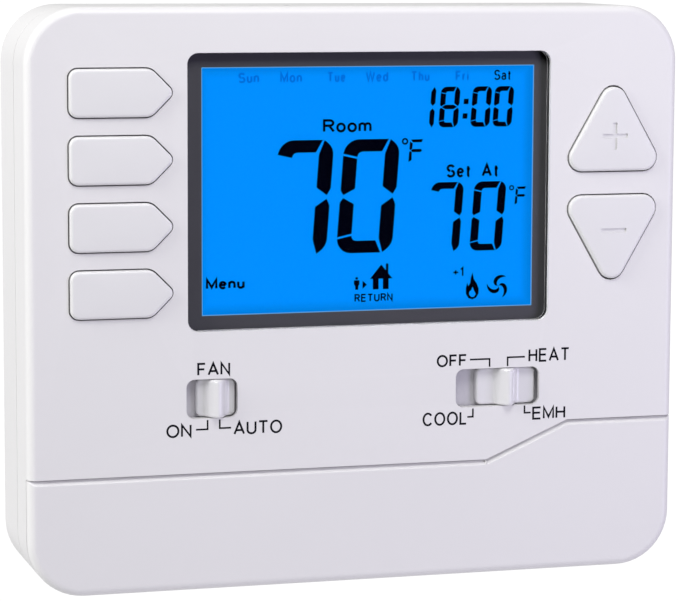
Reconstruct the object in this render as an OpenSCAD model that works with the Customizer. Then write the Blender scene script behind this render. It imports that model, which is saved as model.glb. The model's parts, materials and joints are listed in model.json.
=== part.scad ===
// Wall thermostat: a wall plate with wire terminals, and a control head that plugs onto it.
// Every module is drawn flat, as seen from the front: x to the right, y up, z out of the wall.
// upright() then stands it on the wall: the wall is the plane y = 0, the front looks along -Y.

/* [Case] */
// Width of the case
case_w = 120; // [116:1:150]
// Height of the case
case_h = 103; // [100:1:130]
// Depth from the wall to the front face
case_d = 24; // [23.5:0.1:30]
// Radius of the case corners, seen from the front
corner_r = 10; // [7:0.5:11]
// Radius of the rounded front edge
edge_r = 1.5; // [0.8:0.1:1.7]
// Thickness of the front face
face_t = 2; // [1.8:0.1:2.6]
// Thickness of the side walls of the head
side_t = 2.2; // [1.8:0.1:2.7]

/* [Wall plate] */
// Depth of the wall plate, out of the wall
plate_d = 12.8; // [12.2:0.1:13.2]
// Thickness of the plate's floor
floor_t = 2; // [1.5:0.1:2.2]
// Thickness of the plate's rim
rim_t = 2; // [1.6:0.1:2.4]
// Distance between the two wall screws
screw_pitch = 83.3; // [80:0.1:88]
// Width of a wall screw slot
screw_slot_w = 4.4; // [3.6:0.1:5.2]
// Length of a wall screw slot
screw_slot_l = 8; // [6:0.1:9]
// Width of the opening for the cable
cable_w = 40; // [24:1:44]
// Height of the opening for the cable
cable_h = 20; // [12:1:22]

/* [Window] */
// Width of the clear window
window_w = 66.8; // [56:0.1:67]
// Height of the clear window
window_h = 48.6; // [40:0.1:49]
// Thickness of the clear window
window_t = 1.6; // [1:0.1:1.8]
// Width of the printed border round the window
border = 2.45; // [1.5:0.05:3]
// Corner radius of the window
window_r = 2; // [1:0.1:3]
// Distance from the left side of the case to the window
window_left = 28.6; // [28.2:0.1:29.2]
// Distance from the top of the case to the window
window_top = 8.1; // [7.5:0.1:10]

/* [Keys] */
// Length of an arrow-shaped side key, to its tip
key_l = 18.1; // [14:0.1:18.4]
// Height of a side key
key_h = 8.35; // [7.2:0.05:9.4]
// Distance between the centres of two side keys
key_pitch = 11.64; // [11.2:0.01:12.2]
// Distance from the left side of the case to the side keys
key_left = 7.6; // [7:0.1:9]
// Distance from the top of the case to the first side key's centre
key_top = 14.8; // [14:0.1:17]
// Number of side keys
key_count = 4; // [4]
// Width of a triangular key
tri_w = 16.9; // [13:0.1:17.2]
// Corner radius of a triangular key
tri_r = 2.45; // [1.5:0.05:3]
// Distance from the right side of the case to the triangular keys
tri_right = 4; // [4:0.1:8]
// Distance from the top of the case to the flat side of the upper triangle
tri_top = 29.85; // [28:0.05:34]
// Gap between the two triangular keys
tri_gap = 4.4; // [3:0.1:6]
// How far the keys stand out of the face
key_proud = 0.9; // [0.6:0.1:1.4]
// Travel of a key
key_travel = 0.6; // [0.3:0.05:0.7]
// Gap round a key in the face
key_gap = 0.25; // [0.15:0.05:0.4]

/* [Slide switches] */
// Length of the slot of the fan switch
fan_slot_l = 9.3; // [8.8:0.1:11]
// Height of both slots
slot_h = 7; // [6:0.1:8]
// Distance from the left side of the case to the centre of the fan slot
fan_left = 32.85; // [31:0.05:40]
// Travel of the fan switch between its two positions
fan_travel = 1.9; // [1.6:0.1:2.2]
// Length of the fan knob's plate
fan_knob_l = 7.1; // [6:0.1:7.2]
// Length of the slot of the system switch
system_slot_l = 16; // [15:0.1:17]
// Distance from the right side of the case to the centre of the system slot
system_right = 34; // [32:0.05:38]
// Step of the system switch between two of its four positions
system_step = 3.3; // [2.8:0.1:3.4]
// Length of the system knob's plate
system_knob_l = 11.3; // [9:0.1:12]
// Distance from the bottom of the case to the centre line of both slots
slot_up = 34.3; // [33:0.1:38]

/* [Battery door] */
// Height of the door on its low side
door_low_h = 21.1; // [20.6:0.1:22]
// Height of the door on its high side
door_high_h = 27.8; // [25:0.1:28.6]
// Width of the door's high side
door_high_w = 20.6; // [16:0.1:24]
// Width of the sloping part of the door's upper edge
door_slope_w = 15.5; // [10:0.1:20]
// Thickness of the door
door_t = 2; // [1.8:0.1:2.2]
// Chamfer along the door's upper edge
door_bevel = 0.8; // [0.5:0.1:1.3]
// Travel that takes the door clear of the case
door_travel = 30; // [28:1:40]

/* [Batteries] */
// Diameter of a battery
battery_dia = 14.5; // [13.5:0.1:14.6]
// Length of a battery with its nub
battery_len = 50.5; // [49:0.1:50.8]

/* [Electronics] */
// Thickness of the circuit board
board_t = 1.6; // [1:0.1:1.8]
// Number of wire terminals on each side
terminals = 5; // [3:1:5]
// Distance between two wire terminals
terminal_pitch = 5.08; // [5:0.01:5.3]
// Number of relays
relays = 5; // [3:1:5]

/* [Hidden] */
$fn = 48;
edge_steps = 8;    // rings in the rounded front edge
corner_steps = 12; // points in each rounded corner of the case
arc_steps = 6;     // points in each rounded corner of a key
cut = 0.5;         // how far a cutter runs past a face
fit = 0.2;         // clearance between fixed pieces
slide_fit = 0.15;  // clearance beside a sliding piece

// Depths, measured out of the wall
parting_gap = 0.4;                               // shadow gap between wall plate and head
head_back = plate_d + parting_gap;               // rear edge of the front case
face_in = case_d - face_t;                       // inner side of the front face
door_back = case_d - door_t;                     // inner side of the door
ledge_top = door_back - fit;                     // recessed face under the door
ledge_back = ledge_top - face_t;
rear_t = 1.8;                                    // thickness of the rear case's floor
rear_back = plate_d - 2.6;                       // back of the rear case
rear_in = rear_back + rear_t;
rear_top = head_back + 3;                        // how far the rear case's wall reaches into the head
post_h = 2.2;                                    // height of the posts under the board
board_back = rear_in + post_h;
board_front = board_back + board_t;

// The rear case sits inside the plate's rim and inside the head's walls
head_fit = 0.3;                                  // clearance between wall plate and head
rear_inset = max(rim_t + head_fit, side_t + 0.1);
rear_wall = 1.5;

half_w = case_w / 2;
half_h = case_h / 2;

// Window
window_x = -half_w + window_left + window_w / 2;
window_y = half_h - window_top - window_h / 2;
mask_t = 0.2;
window_rest = case_d - fit - window_t - mask_t;  // ledge that the window rests on
ledge_t = 1.2;
lens_gap = 0.1;                                  // gap round the window in the face
view_w = window_w - 2 * border;
view_h = window_h - 2 * border;
frame_w = window_w + 3.2;
frame_h = window_h + 2;
lcd_front = window_rest - ledge_t - 0.1;
lcd_t = 2.3;
lcd_back = lcd_front - lcd_t;
lcd_w = window_w - 0.3;
lcd_h = window_h - 1;
pocket_gap = 0.15;
zebra_h = 2;

// Keys
key_x = -half_w + key_left;
key_y0 = half_h - key_top;
shoulder_r = 2.5;
key_corner_r = 1.6;
tip_r = 1.2;
tri_side = tri_w - 2 * tri_r;                    // side of the triangle of corner centres
tri_height = tri_side * sqrt(3) / 2 + 2 * tri_r;
tri_x = half_w - tri_right - tri_w / 2;
plus_base = half_h - tri_top;
minus_base = plus_base - tri_gap;
plus_mid = plus_base + tri_r + tri_side * sqrt(3) / 6;
minus_mid = minus_base - tri_r - tri_side * sqrt(3) / 6;
flange_out = 0.6;                                // how far a key's flange reaches under the face
flange_t = 1.2;
flange_top = face_in - fit;
edge_step = 0.4;                                 // a key's front edge is stepped in by this much
sign_l = 4.9;                                    // strokes of the plus and minus signs
sign_w = 0.85;
sign_d = 0.3;
flange_back = flange_top - flange_t;
stem_h = 0.4;
stem_r = 2.2;
switch_side = 6;
plunger_top = flange_back - stem_h;
switch_top = plunger_top - 0.9;
plunger_r = 1.7;
plunger_h = 2.6;
plunger_gap = 0.1;

// Slide switches
slot_y = -half_h + slot_up;
fan_x = -half_w + fan_left;
system_x = half_w - system_right;
slot_r = 1.5;
fan_rest = fan_x + fan_travel / 2;               // the fan knob rests at its right-hand position
system_rest = system_x + 0.25 + system_step / 2; // third of four positions
system_mid = system_x + 0.25;
thin_face = 1;                                   // the face over a knob's plate
knob_top = case_d - thin_face - fit;
knob_mid = knob_top - 1.2;
knob_back = knob_mid - 0.8;
knob_h = slot_h - 2 * slide_fit;
knob_lip = 0.6;                                  // what keeps a knob behind the face
rib_top = case_d + 1.4;
rib_half = 2;
slider_l = 3;
slider_w = 1.8;
slider_gap = 0.2;
switch_body_top = knob_back - 1.2;

// Door
low_y = -half_h + door_low_h;
high_y = -half_h + door_high_h;
slope_x1 = half_w - door_high_w;
slope_x0 = slope_x1 - door_slope_w;
door_gap = 0.2;
rail_x = half_w - 5.2;
neck_w = 1.4;
rail_w = 3;
rail_t = 1;
rail_low_y = -half_h + 5;

// Batteries
battery_r = battery_dia / 2;
battery_floor = battery_r - 1.15;                // inner side of the battery box
battery_z = battery_floor + 0.2 + battery_r;
battery_box_back = battery_floor - 1.8;
divider_t = 1;
contact_t = 0.4;
nub_l = 1;
box_y0 = -half_h + rear_inset + 1.7;             // inner bottom of the battery box
box_y1 = box_y0 + battery_dia + 0.6;             // inner top
battery_y = (box_y0 + box_y1) / 2;
rail_top_y = box_y1 - 0.7;                       // the door's rails end below the wall over the box
box_wall = 1.3;
end_in = half_w - rear_inset - rear_wall - 0.9;  // inner side of the battery box's ends
plate_w = battery_dia - 6.1;                     // width of a battery contact's plate
plate_h = battery_dia - 4.5;
battery_end = divider_t / 2 + contact_t + battery_len;
opening_half = battery_end + 0.6;
spring_r = plate_w / 2 - 0.6;
spring_wire = 0.35;
spring_turns = 3;
spring_steps = 16;                               // rings in one turn
wire_sides = 8;

// Wall plate
block_w = 10;
block_x = 30;
block_top = rear_back - 0.8;
block_l = terminals * terminal_pitch + 1.6;
terminal_y0 = -4;
socket_x = 3;                                    // pin socket, out from the middle of the block
screw_x = -1;                                    // clamp screw, in from the middle of the block
cable_top = -2;

// Relay box
relay_w = 11;
relay_l = 18;
relay_step = 14;
relay_box_y0 = half_h - 29.5;
relay_box_y1 = half_h - 8;
relay_box_half = (relays * relay_step) / 2 + 2.5;
relay_box_back = floor_t + 1.2;
relay_floor = relay_box_back + 1.6;
relay_h = board_back - relay_floor - 0.2;
box_skin = 1.5;

// Screws that hold the case together, and the board
boss_r = 2.7;
boss_inset = rear_inset + rear_wall + boss_r + 0.25;
case_screws_at = [
    [-half_w + corner_r + 2, half_h - boss_inset], [half_w - corner_r - 2, half_h - boss_inset],
    [-half_w + boss_inset, low_y + 6.4], [half_w - boss_inset, high_y + 6.4]
];
pilot_r = 1.2;
shank_r = 1.15;
board_screw_in = corner_r + 8.6;
board_screw_r = 2.3;
// The lower board screws clear the slide switches and the lowest key's switch
board_screw_y = min(slot_y + 8.3, key_y(key_count - 1) - switch_side / 2 - board_screw_r - 0.4);
board_screws_at = [
    [-half_w + board_screw_in, half_h - 7.2], [half_w - board_screw_in, half_h - 7.2],
    [-half_w + board_screw_in, board_screw_y], [half_w - board_screw_in, board_screw_y]
];

function terminal_y(i) = terminal_y0 + (i - (terminals - 1) / 2) * terminal_pitch;
function key_y(i) = key_y0 - i * key_pitch;

// Points of an arc about [x, y]
function arc(x, y, r, from, to) =
    [for (i = [0 : arc_steps]) let (a = from + (to - from) * i / arc_steps)
        [x + r * cos(a), y + r * sin(a)]];

// An arrow-shaped key outline, its flat side at x = 0, grown all round by g
function arrow(g) = let (h = key_h / 2, s = key_l + tip_r * (sqrt(2) - 1) - h, c = key_corner_r,
        k = shoulder_r * tan(22.5))
    concat(
        arc(c, -h + c, c + g, 270, 180),
        arc(c, h - c, c + g, 180, 90),
        arc(s - k, h - shoulder_r, shoulder_r + g, 90, 45),
        arc(s + h - tip_r * sqrt(2), 0, tip_r + g, 45, -45),
        arc(s - k, -h + shoulder_r, shoulder_r + g, -45, -90)
    );

// A triangular key outline about its centre, point up, grown all round by g
function triangle(g) = let (c = tri_side / sqrt(3))
    concat(
        arc(0, c, tri_r + g, 150, 30),
        arc(c * cos(-30), c * sin(-30), tri_r + g, 30, -90),
        arc(c * cos(210), c * sin(210), tri_r + g, 270, 150)
    );

// The region of the front that lies under the door's upper edge, moved down by g
function below_seam(g) = [
    [-case_w, -case_h], [-case_w, low_y - g], [slope_x0, low_y - g],
    [slope_x1, high_y - g], [case_w, high_y - g], [case_w, -case_h]
];

// Stands a flat drawing on the wall
module upright() rotate([90, 0, 0]) children();

module slab(from, to) translate([0, 0, from]) linear_extrude(to - from) children();

module rounded_rect(w, h, r) {
    square([w - 2 * r, h], center = true);
    square([w, h - 2 * r], center = true);
    for (x = [-1, 1], y = [-1, 1]) translate([x * (w / 2 - r), y * (h / 2 - r)]) circle(r);
}

// The case outline, moved in by g
module outline(g = 0) rounded_rect(case_w - 2 * g, case_h - 2 * g, corner_r - g);

// The case outline moved in by g, as points at height z
function case_ring(g, z) = [for (c = [[1, 1], [-1, 1], [-1, -1], [1, -1]], i = [0 : corner_steps])
    let (start = c[1] > 0 ? (c[0] > 0 ? 0 : 90) : (c[0] < 0 ? 180 : 270), a = start + 90 * i / corner_steps)
    [c[0] * (half_w - corner_r) + (corner_r - g) * cos(a),
        c[1] * (half_h - corner_r) + (corner_r - g) * sin(a), z]];

// The head's outer body, with its rounded front edge
module head_body(from) {
    rings = concat([case_ring(0, from)], [for (i = [0 : edge_steps]) let (a = 90 * i / edge_steps)
        case_ring(edge_r * (1 - cos(a)), case_d - edge_r * (1 - sin(a)))]);
    n = len(rings[0]);
    last = len(rings) - 1;
    polyhedron([for (ring = rings) each ring], concat(
        [[for (j = [0 : n - 1]) j]],
        [for (i = [0 : last - 1], j = [0 : n - 1]) let (k = (j + 1) % n)
            [i * n + j, (i + 1) * n + j, (i + 1) * n + k, i * n + k]],
        [[for (j = [0 : n - 1]) last * n + n - 1 - j]]
    ));
}

module column(x, y, r, from, to) translate([x, y, from]) cylinder(r = r, h = to - from);

module block(x0, x1, y0, y1, from, to) translate([x0, y0, from]) cube([x1 - x0, y1 - y0, to - from]);

/* Wall plate and its terminals */

module wall_plate() color("whitesmoke") upright() {
    difference() {
        slab(0, plate_d) outline();
        slab(floor_t, plate_d + cut) outline(rim_t);
        slab(-cut, floor_t + cut) translate([0, cable_top - cable_h / 2])
            rounded_rect(cable_w, cable_h, 3);
        for (side = [-1, 1])
            slab(-cut, floor_t + cut) translate([side * screw_pitch / 2, terminal_y0]) screw_slot();
    }
    // Ribs that steady the head in the rim
    for (side = [-1, 1], y = [-1, 1])
        block(side * (half_w - rim_t) - head_fit / 2, side * (half_w - rim_t) + head_fit / 2,
            y * half_h / 2 - 6, y * half_h / 2 + 6, floor_t - cut, plate_d - 2);
}

module screw_slot() {
    run = screw_slot_l - screw_slot_w;
    square([run, screw_slot_w], center = true);
    for (x = [-1, 1]) translate([x * run / 2, 0]) circle(screw_slot_w / 2);
}

module at_terminals(side) for (i = [0 : terminals - 1])
    translate([side * block_x, terminal_y(i), 0]) scale_x(side) children();

module scale_x(side) mirror([side < 0 ? 1 : 0, 0, 0]) children();

module terminal_block(side) color("darkseagreen") upright() difference() {
    block(side * block_x - block_w / 2, side * block_x + block_w / 2,
        terminal_y0 - block_l / 2, terminal_y0 + block_l / 2, floor_t, block_top);
    at_terminals(side) {
        block(-block_w / 2 - cut, screw_x + 2, -1.8, 1.8, floor_t + 1, floor_t + 4.6);
        column(screw_x, 0, 1.9, floor_t + 4, block_top + cut);
        block(socket_x - 0.9, socket_x + 0.9, -0.9, 0.9, floor_t + 1, block_top + cut);
    }
}

module terminal_screws() color("silver") upright() for (side = [-1, 1]) at_terminals(side)
    difference() {
        union() {
            column(screw_x, 0, 1.7, block_top - 1.6, block_top - 0.2);
            column(screw_x, 0, 1.2, floor_t + 3.4, block_top - 1.4);
        }
        block(screw_x - 1.8, screw_x + 1.8, -0.25, 0.25, block_top - 0.8, block_top);
    }

module wire_clamps() color("tan") upright() for (side = [-1, 1]) at_terminals(side)
    difference() {
        block(screw_x - 2.4, screw_x + 1.8, -1.7, 1.7, floor_t + 1.1, floor_t + 4.5);
        block(screw_x - 2.4 - cut, screw_x + 1.8 + cut, -1.2, 1.2, floor_t + 1.6, floor_t + 3.2);
        column(screw_x, 0, 1.3, floor_t + 3, floor_t + 5);
    }

module socket_contacts() color("goldenrod") upright() for (side = [-1, 1]) at_terminals(side)
    difference() {
        block(socket_x - 0.8, socket_x + 0.8, -0.8, 0.8, floor_t + 1.1, block_top - 0.4);
        block(socket_x - 0.55, socket_x + 0.55, -cut - 1, 1 + cut, floor_t + 1.6, block_top);
    }

/* Case of the head */

module rear_case() color("gainsboro") upright() difference() {
    union() {
        difference() {
            slab(rear_back, rear_top) outline(rear_inset);
            slab(rear_in, rear_top + cut) outline(rear_inset + rear_wall);
        }
        // Relay box and battery box, which reach back into the wall plate
        block(-relay_box_half, relay_box_half, relay_box_y0, relay_box_y1, relay_box_back, rear_in);
        intersection() {
            slab(battery_box_back, rear_in) outline(rear_inset);
            block(-half_w, half_w, -half_h, box_y1 + box_wall, battery_box_back, rear_in);
        }
        // Wall between the batteries and the board, and divider between the batteries
        block(-end_in, end_in, box_y1, box_y1 + box_wall, rear_in - cut, ledge_back - fit);
        block(-divider_t / 2, divider_t / 2, box_y0, box_y1 + cut, rear_in - cut, battery_z + plate_h / 2);
        for (p = board_screws_at) column(p[0], p[1], 2.75, rear_in - cut, board_back);
    }
    block(-relay_box_half + box_skin, relay_box_half - box_skin,
        relay_box_y0 + box_skin, relay_box_y1 - box_skin, relay_floor, rear_in + cut);
    for (side = [-1, 1]) intersection() {
        slab(battery_floor, rear_in + cut) outline(rear_inset + rear_wall);
        block(side > 0 ? divider_t / 2 : -end_in, side > 0 ? end_in : -divider_t / 2,
            box_y0, box_y1, battery_floor, rear_in + cut);
    }
    for (side = [-1, 1])
        block(side * (block_x + socket_x) - 1.7, side * (block_x + socket_x) + 1.7,
            terminal_y0 - block_l / 2, terminal_y0 + block_l / 2, rear_back - cut, rear_in + cut);
    for (p = board_screws_at) column(p[0], p[1], pilot_r, rear_in + 0.4, board_back + cut);
    for (p = case_screws_at) {
        column(p[0], p[1], pilot_r + 0.3, rear_back - cut, rear_in + cut);
        column(p[0], p[1], 2.7, rear_back - cut, rear_back + 0.8);
    }
}

// The space inside the front case
module head_cavity() {
    slab(head_back - cut, ledge_back) outline(side_t);
    difference() {
        slab(head_back - cut, face_in) outline(side_t);
        slab(ledge_back - cut, face_in + cut) polygon(below_seam(-face_t));
    }
}

module vents(edge) for (i = [-6 : 6]) translate([i * 6, edge * half_h, 0])
    block(-0.8, 0.8, -side_t - 1, side_t + 1, rear_top + 0.6, ledge_back - 0.4);

module front_case() color("white") upright() difference() {
    union() {
        difference() {
            head_body(head_back);
            head_cavity();
        }
        // Ledge behind the window
        slab(window_rest - ledge_t, face_in + 0.1) translate([window_x, window_y])
            rounded_rect(window_w + 4, window_h + 4, 1);
        for (p = case_screws_at) column(p[0], p[1], boss_r, rear_in + 0.1, face_in + 0.1);
    }
    // The recess that the door lies in
    slab(ledge_top, case_d + cut) polygon(below_seam(0));
    slab(window_rest, case_d + cut) translate([window_x, window_y])
        rounded_rect(window_w + 2 * lens_gap, window_h + 2 * lens_gap, window_r);
    slab(window_rest - ledge_t - cut, case_d) translate([window_x, window_y])
        rounded_rect(view_w + 1, view_h + 1, 1);
    for (i = [0 : key_count - 1]) slab(flange_back, case_d + cut) translate([key_x, key_y(i)])
        polygon(arrow(key_gap));
    for (up = [1, -1]) slab(flange_back, case_d + cut) translate([tri_x, up > 0 ? plus_mid : minus_mid])
        rotate(up > 0 ? 0 : 180) polygon(triangle(key_gap));
    slab(face_in - cut, case_d + cut) translate([fan_x, slot_y]) rounded_rect(fan_slot_l, slot_h, slot_r);
    slab(face_in - cut, case_d + cut) translate([system_x, slot_y])
        rounded_rect(system_slot_l, slot_h, slot_r);
    // Pocket that the system knob's plate slides in, under the face
    block(system_mid - 1.5 * system_step - system_knob_l / 2 - 0.4,
        system_mid + 1.5 * system_step + system_knob_l / 2 + 0.4,
        slot_y - slot_h / 2, slot_y + slot_h / 2, face_in - cut, case_d - thin_face);
    block(fan_x - fan_travel / 2 - fan_knob_l / 2 - 0.4, fan_x + fan_travel / 2 + fan_knob_l / 2 + 0.4,
        slot_y - slot_h / 2, slot_y + slot_h / 2, face_in - cut, case_d - thin_face);
    // Battery opening and the two tracks of the door's rails
    block(-opening_half, opening_half, box_y0 + 0.2, box_y1 - 0.2, ledge_back - cut, ledge_top + cut);
    for (side = [-1, 1]) {
        block(side * rail_x - neck_w / 2 - 0.2, side * rail_x + neck_w / 2 + 0.2,
            -half_h - cut, rail_top_y + 0.3, ledge_back - cut, ledge_top + cut);
        block(side * rail_x - rail_w / 2 - 0.3, side * rail_x + rail_w / 2 + 0.3,
            -half_h - cut, rail_top_y + 0.3, ledge_back - rail_t - 0.6, ledge_back + 0.01);
    }
    for (p = case_screws_at) column(p[0], p[1], pilot_r, rear_in, face_in - 2);
    vents(1);
    vents(-1);
}

module case_screws() color("silver") upright() for (p = case_screws_at) {
    column(p[0], p[1], 2.5, rear_back - 0.6, rear_back + 0.8);
    column(p[0], p[1], shank_r, rear_back + 0.7, face_in - 3);
}

module battery_door() color("white") upright() {
    difference() {
        intersection() {
            head_body(door_back);
            slab(door_back - cut, case_d + cut) polygon(below_seam(door_gap));
        }
        seam_bevel([-case_w, low_y], [slope_x0, low_y]);
        seam_bevel([slope_x0, low_y], [slope_x1, high_y]);
        seam_bevel([slope_x1, high_y], [case_w, high_y]);
    }
    // T-shaped rails that run in the tracks of the front case
    for (side = [-1, 1]) {
        block(side * rail_x - neck_w / 2, side * rail_x + neck_w / 2,
            rail_low_y, rail_top_y, ledge_back - fit - 0.1, door_back + 0.2);
        block(side * rail_x - rail_w / 2, side * rail_x + rail_w / 2,
            rail_low_y, rail_top_y, ledge_back - fit - rail_t, ledge_back - fit);
    }
}

// Cutter that bevels the door's upper edge from point a to point b
module seam_bevel(a, b) {
    run = norm(b - a);
    turn = atan2(b[1] - a[1], b[0] - a[0]);
    translate([a[0], a[1] - door_gap, case_d]) rotate([0, 0, turn]) rotate([45, 0, 0])
        translate([0, -door_bevel / sqrt(2), -door_bevel / sqrt(2)])
            cube([run, 2 * door_bevel, 2 * door_bevel]);
}

/* Display */

module display_window() color("lightcyan", 0.4) upright()
    slab(window_rest + mask_t, window_rest + mask_t + window_t) translate([window_x, window_y])
        rounded_rect(window_w, window_h, window_r);

module window_mask() color("dimgray") upright() difference() {
    slab(window_rest, window_rest + mask_t) translate([window_x, window_y])
        rounded_rect(window_w, window_h, window_r);
    slab(window_rest - cut, case_d) translate([window_x, window_y]) square([view_w, view_h], center = true);
}

module lcd_frame() color("ivory") upright() difference() {
    slab(board_front, lcd_front) translate([window_x, window_y]) square([frame_w, frame_h], center = true);
    slab(board_front - cut, lcd_front + cut) translate([window_x, window_y])
        square([lcd_w + 2 * pocket_gap, lcd_h + 2 * pocket_gap], center = true);
}

// Two glass plates, the back one longer by the contact ledge
module lcd_panel() color("deepskyblue") upright() translate([window_x, window_y, 0]) {
    block(-lcd_w / 2, lcd_w / 2, -lcd_h / 2 + zebra_h + 0.5, lcd_h / 2, lcd_back + lcd_t / 2, lcd_front);
    block(-lcd_w / 2, lcd_w / 2, -lcd_h / 2, lcd_h / 2, lcd_back, lcd_back + lcd_t / 2);
}

module backlight_guide() color("lightblue") upright() translate([window_x, window_y, 0])
    block(-lcd_w / 2 + 2.5, lcd_w / 2 - 0.5, -lcd_h / 2 + zebra_h + 1, lcd_h / 2 - 0.5,
        board_front + 0.2, lcd_back - 0.1);

module backlight_leds() color("khaki") upright() translate([window_x, window_y, 0])
    for (i = [-1 : 1]) translate([-lcd_w / 2 + 0.3, i * lcd_h / 4, 0])
        block(0, 1.9, -1.6, 1.6, board_front, board_front + 1.4);

module zebra_strip() color("pink") upright() translate([window_x, window_y, 0])
    block(-lcd_w / 2 + 2, lcd_w / 2 - 2, -lcd_h / 2 + 0.2, -lcd_h / 2 + zebra_h, board_front, lcd_back);

/* Circuit board */

module main_board() color("seagreen") upright() difference() {
    intersection() {
        slab(board_back, board_front) outline(rear_inset + rear_wall + 0.4);
        block(-half_w, half_w, box_y1 + box_wall + 0.4, half_h, board_back, board_front);
    }
    for (p = case_screws_at) column(p[0], p[1], boss_r + 0.3, board_back - cut, board_front + cut);
    for (p = board_screws_at) column(p[0], p[1], pilot_r + 0.2, board_back - cut, board_front + cut);
    for (side = [-1, 1]) at_terminals(side)
        block(socket_x - 0.6, socket_x + 0.6, -0.6, 0.6, board_back - cut, board_front + cut);
}

module board_screws() color("silver") upright() for (p = board_screws_at) {
    column(p[0], p[1], board_screw_r, board_front, board_front + 1.4);
    column(p[0], p[1], shank_r, rear_in + 0.6, board_front + 0.1);
}

module relays() color("darkorange") upright()
    for (i = [0 : relays - 1])
        translate([(i - (relays - 1) / 2) * relay_step, (relay_box_y0 + relay_box_y1) / 2, 0])
            block(-relay_w / 2, relay_w / 2, -relay_l / 2, relay_l / 2, board_back - relay_h, board_back);

module header_strips() color("dimgray") upright() for (side = [-1, 1])
    difference() {
        block(side * (block_x + socket_x) - 1.3, side * (block_x + socket_x) + 1.3,
            terminal_y0 - block_l / 2 + 0.6, terminal_y0 + block_l / 2 - 0.6, rear_in - 0.6, board_back);
        at_terminals(side) block(socket_x - 0.5, socket_x + 0.5, -0.5, 0.5, rear_in - 1, board_back + cut);
    }

module header_pins() color("gold") upright() for (side = [-1, 1]) at_terminals(side)
    block(socket_x - 0.5, socket_x + 0.5, -0.5, 0.5, floor_t + 2.4, board_front);

module control_chip() color("darkslategray") upright()
    block(-7, 7, slot_y + 6, slot_y + 20, board_back - 1.5, board_back);

module capacitors() color("steelblue") upright() for (x = [-11.5, -4.5])
    column(x, slot_y, 2.6, board_front, board_front + 5);

module crystal() color("silver") upright()
    block(1, 4.8, slot_y - 5, slot_y + 5, board_front, board_front + 3.4);

module thermistor() color("saddlebrown") upright() {
    translate([half_w - 11, slot_y - 2, board_front + 4]) sphere(1.3);
    for (x = [-0.6, 0.6]) column(half_w - 11 + x, slot_y - 2, 0.25, board_front, board_front + 3.5);
}

module at_keys() {
    for (i = [0 : key_count - 1]) translate([key_x + key_l * 0.45, key_y(i), 0]) children();
    translate([tri_x, plus_mid, 0]) children();
    translate([tri_x, minus_mid, 0]) children();
}

module tact_switches() color("darkgray") upright() at_keys() difference() {
    block(-switch_side / 2, switch_side / 2, -switch_side / 2, switch_side / 2, board_front, switch_top);
    column(0, 0, plunger_r + plunger_gap, plunger_top - plunger_h - key_travel - 0.3, switch_top + cut);
}

// A slide switch's body, open along the top for its slider
module slide_switch(x, travel, length) difference() {
    block(x - length / 2, x + length / 2, slot_y - 2.5, slot_y + 2.5, board_front, switch_body_top);
    block(x - travel / 2 - slider_l / 2 - slider_gap, x + travel / 2 + slider_l / 2 + slider_gap,
        slot_y - slider_w / 2 - slider_gap, slot_y + slider_w / 2 + slider_gap,
        board_front + 0.8, switch_body_top + cut);
}

module fan_switch_body() color("lightslategray") upright() slide_switch(fan_x, fan_travel, 10);

module system_switch_body() color("lightslategray") upright() slide_switch(system_mid, 3 * system_step, 20);

/* Batteries */

module battery(side) color(side < 0 ? "orange" : "gold") upright()
    translate([side * (divider_t / 2 + contact_t), battery_y, battery_z]) rotate([0, side * 90, 0]) {
        translate([0, 0, nub_l]) cylinder(r = battery_r, h = battery_len - nub_l);
        cylinder(r = 2.6, h = nub_l + 0.1);
    }

// A conical spring of length l, its wide end on z = 0
module coil(l) {
    rings = spring_turns * spring_steps;
    points = [for (i = [0 : rings], j = [0 : wire_sides - 1])
        let (a = 360 * i / spring_steps, b = 360 * j / wire_sides,
            r = spring_r - spring_r * 0.4 * i / rings + spring_wire * cos(b))
        [r * cos(a), r * sin(a), spring_wire + (l - 2 * spring_wire) * i / rings + spring_wire * sin(b)]];
    sides = [for (i = [0 : rings - 1], j = [0 : wire_sides - 1], half = [0, 1])
        let (k = (j + 1) % wire_sides, p = i * wire_sides, q = p + wire_sides)
        half == 0 ? [p + j, p + k, q + k] : [p + j, q + k, q + j]];
    first = [for (j = [0 : wire_sides - 1]) wire_sides - 1 - j];
    last = [for (j = [0 : wire_sides - 1]) rings * wire_sides + j];
    polyhedron(points, concat(sides, [first], [last]));
}

module battery_springs() color("silver") upright() for (side = [-1, 1])
    translate([side * (end_in - fit - contact_t), battery_y, battery_z]) rotate([0, -side * 90, 0]) {
        coil(end_in - fit - contact_t - battery_end);
        translate([-plate_h / 2, -plate_w / 2, -contact_t]) cube([plate_h, plate_w, contact_t + 0.05]);
    }

module battery_plates() color("silver") upright() for (side = [-1, 1])
    block(side > 0 ? divider_t / 2 : -divider_t / 2 - contact_t,
        side > 0 ? divider_t / 2 + contact_t : -divider_t / 2,
        battery_y - plate_w / 2, battery_y + plate_w / 2, battery_z - plate_h / 2, battery_z + plate_h / 2);

/* Keys */

module key_cap(outer, inner) {
    slab(flange_back, case_d + key_proud - edge_step) children(0);
    slab(case_d + key_proud - edge_step - 0.01, case_d + key_proud) children(1);
    slab(flange_back, flange_top) children(2);
}

module soft_key(i) color("white") upright() translate([key_x, key_y(i), 0]) {
    key_cap() {
        polygon(arrow(0));
        polygon(arrow(-edge_step));
        polygon(arrow(flange_out));
    }
    column(key_l * 0.45, 0, stem_r, plunger_top, flange_back + 0.1);
}

module triangle_key(y, turn) color("white") upright() translate([tri_x, y, 0]) {
    difference() {
        rotate(turn) key_cap() {
            polygon(triangle(0));
            polygon(triangle(-edge_step));
            polygon(triangle(flange_out));
        }
        slab(case_d + key_proud - sign_d, case_d + key_proud + cut) children();
    }
    column(0, 0, stem_r, plunger_top, flange_back + 0.1);
}

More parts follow.
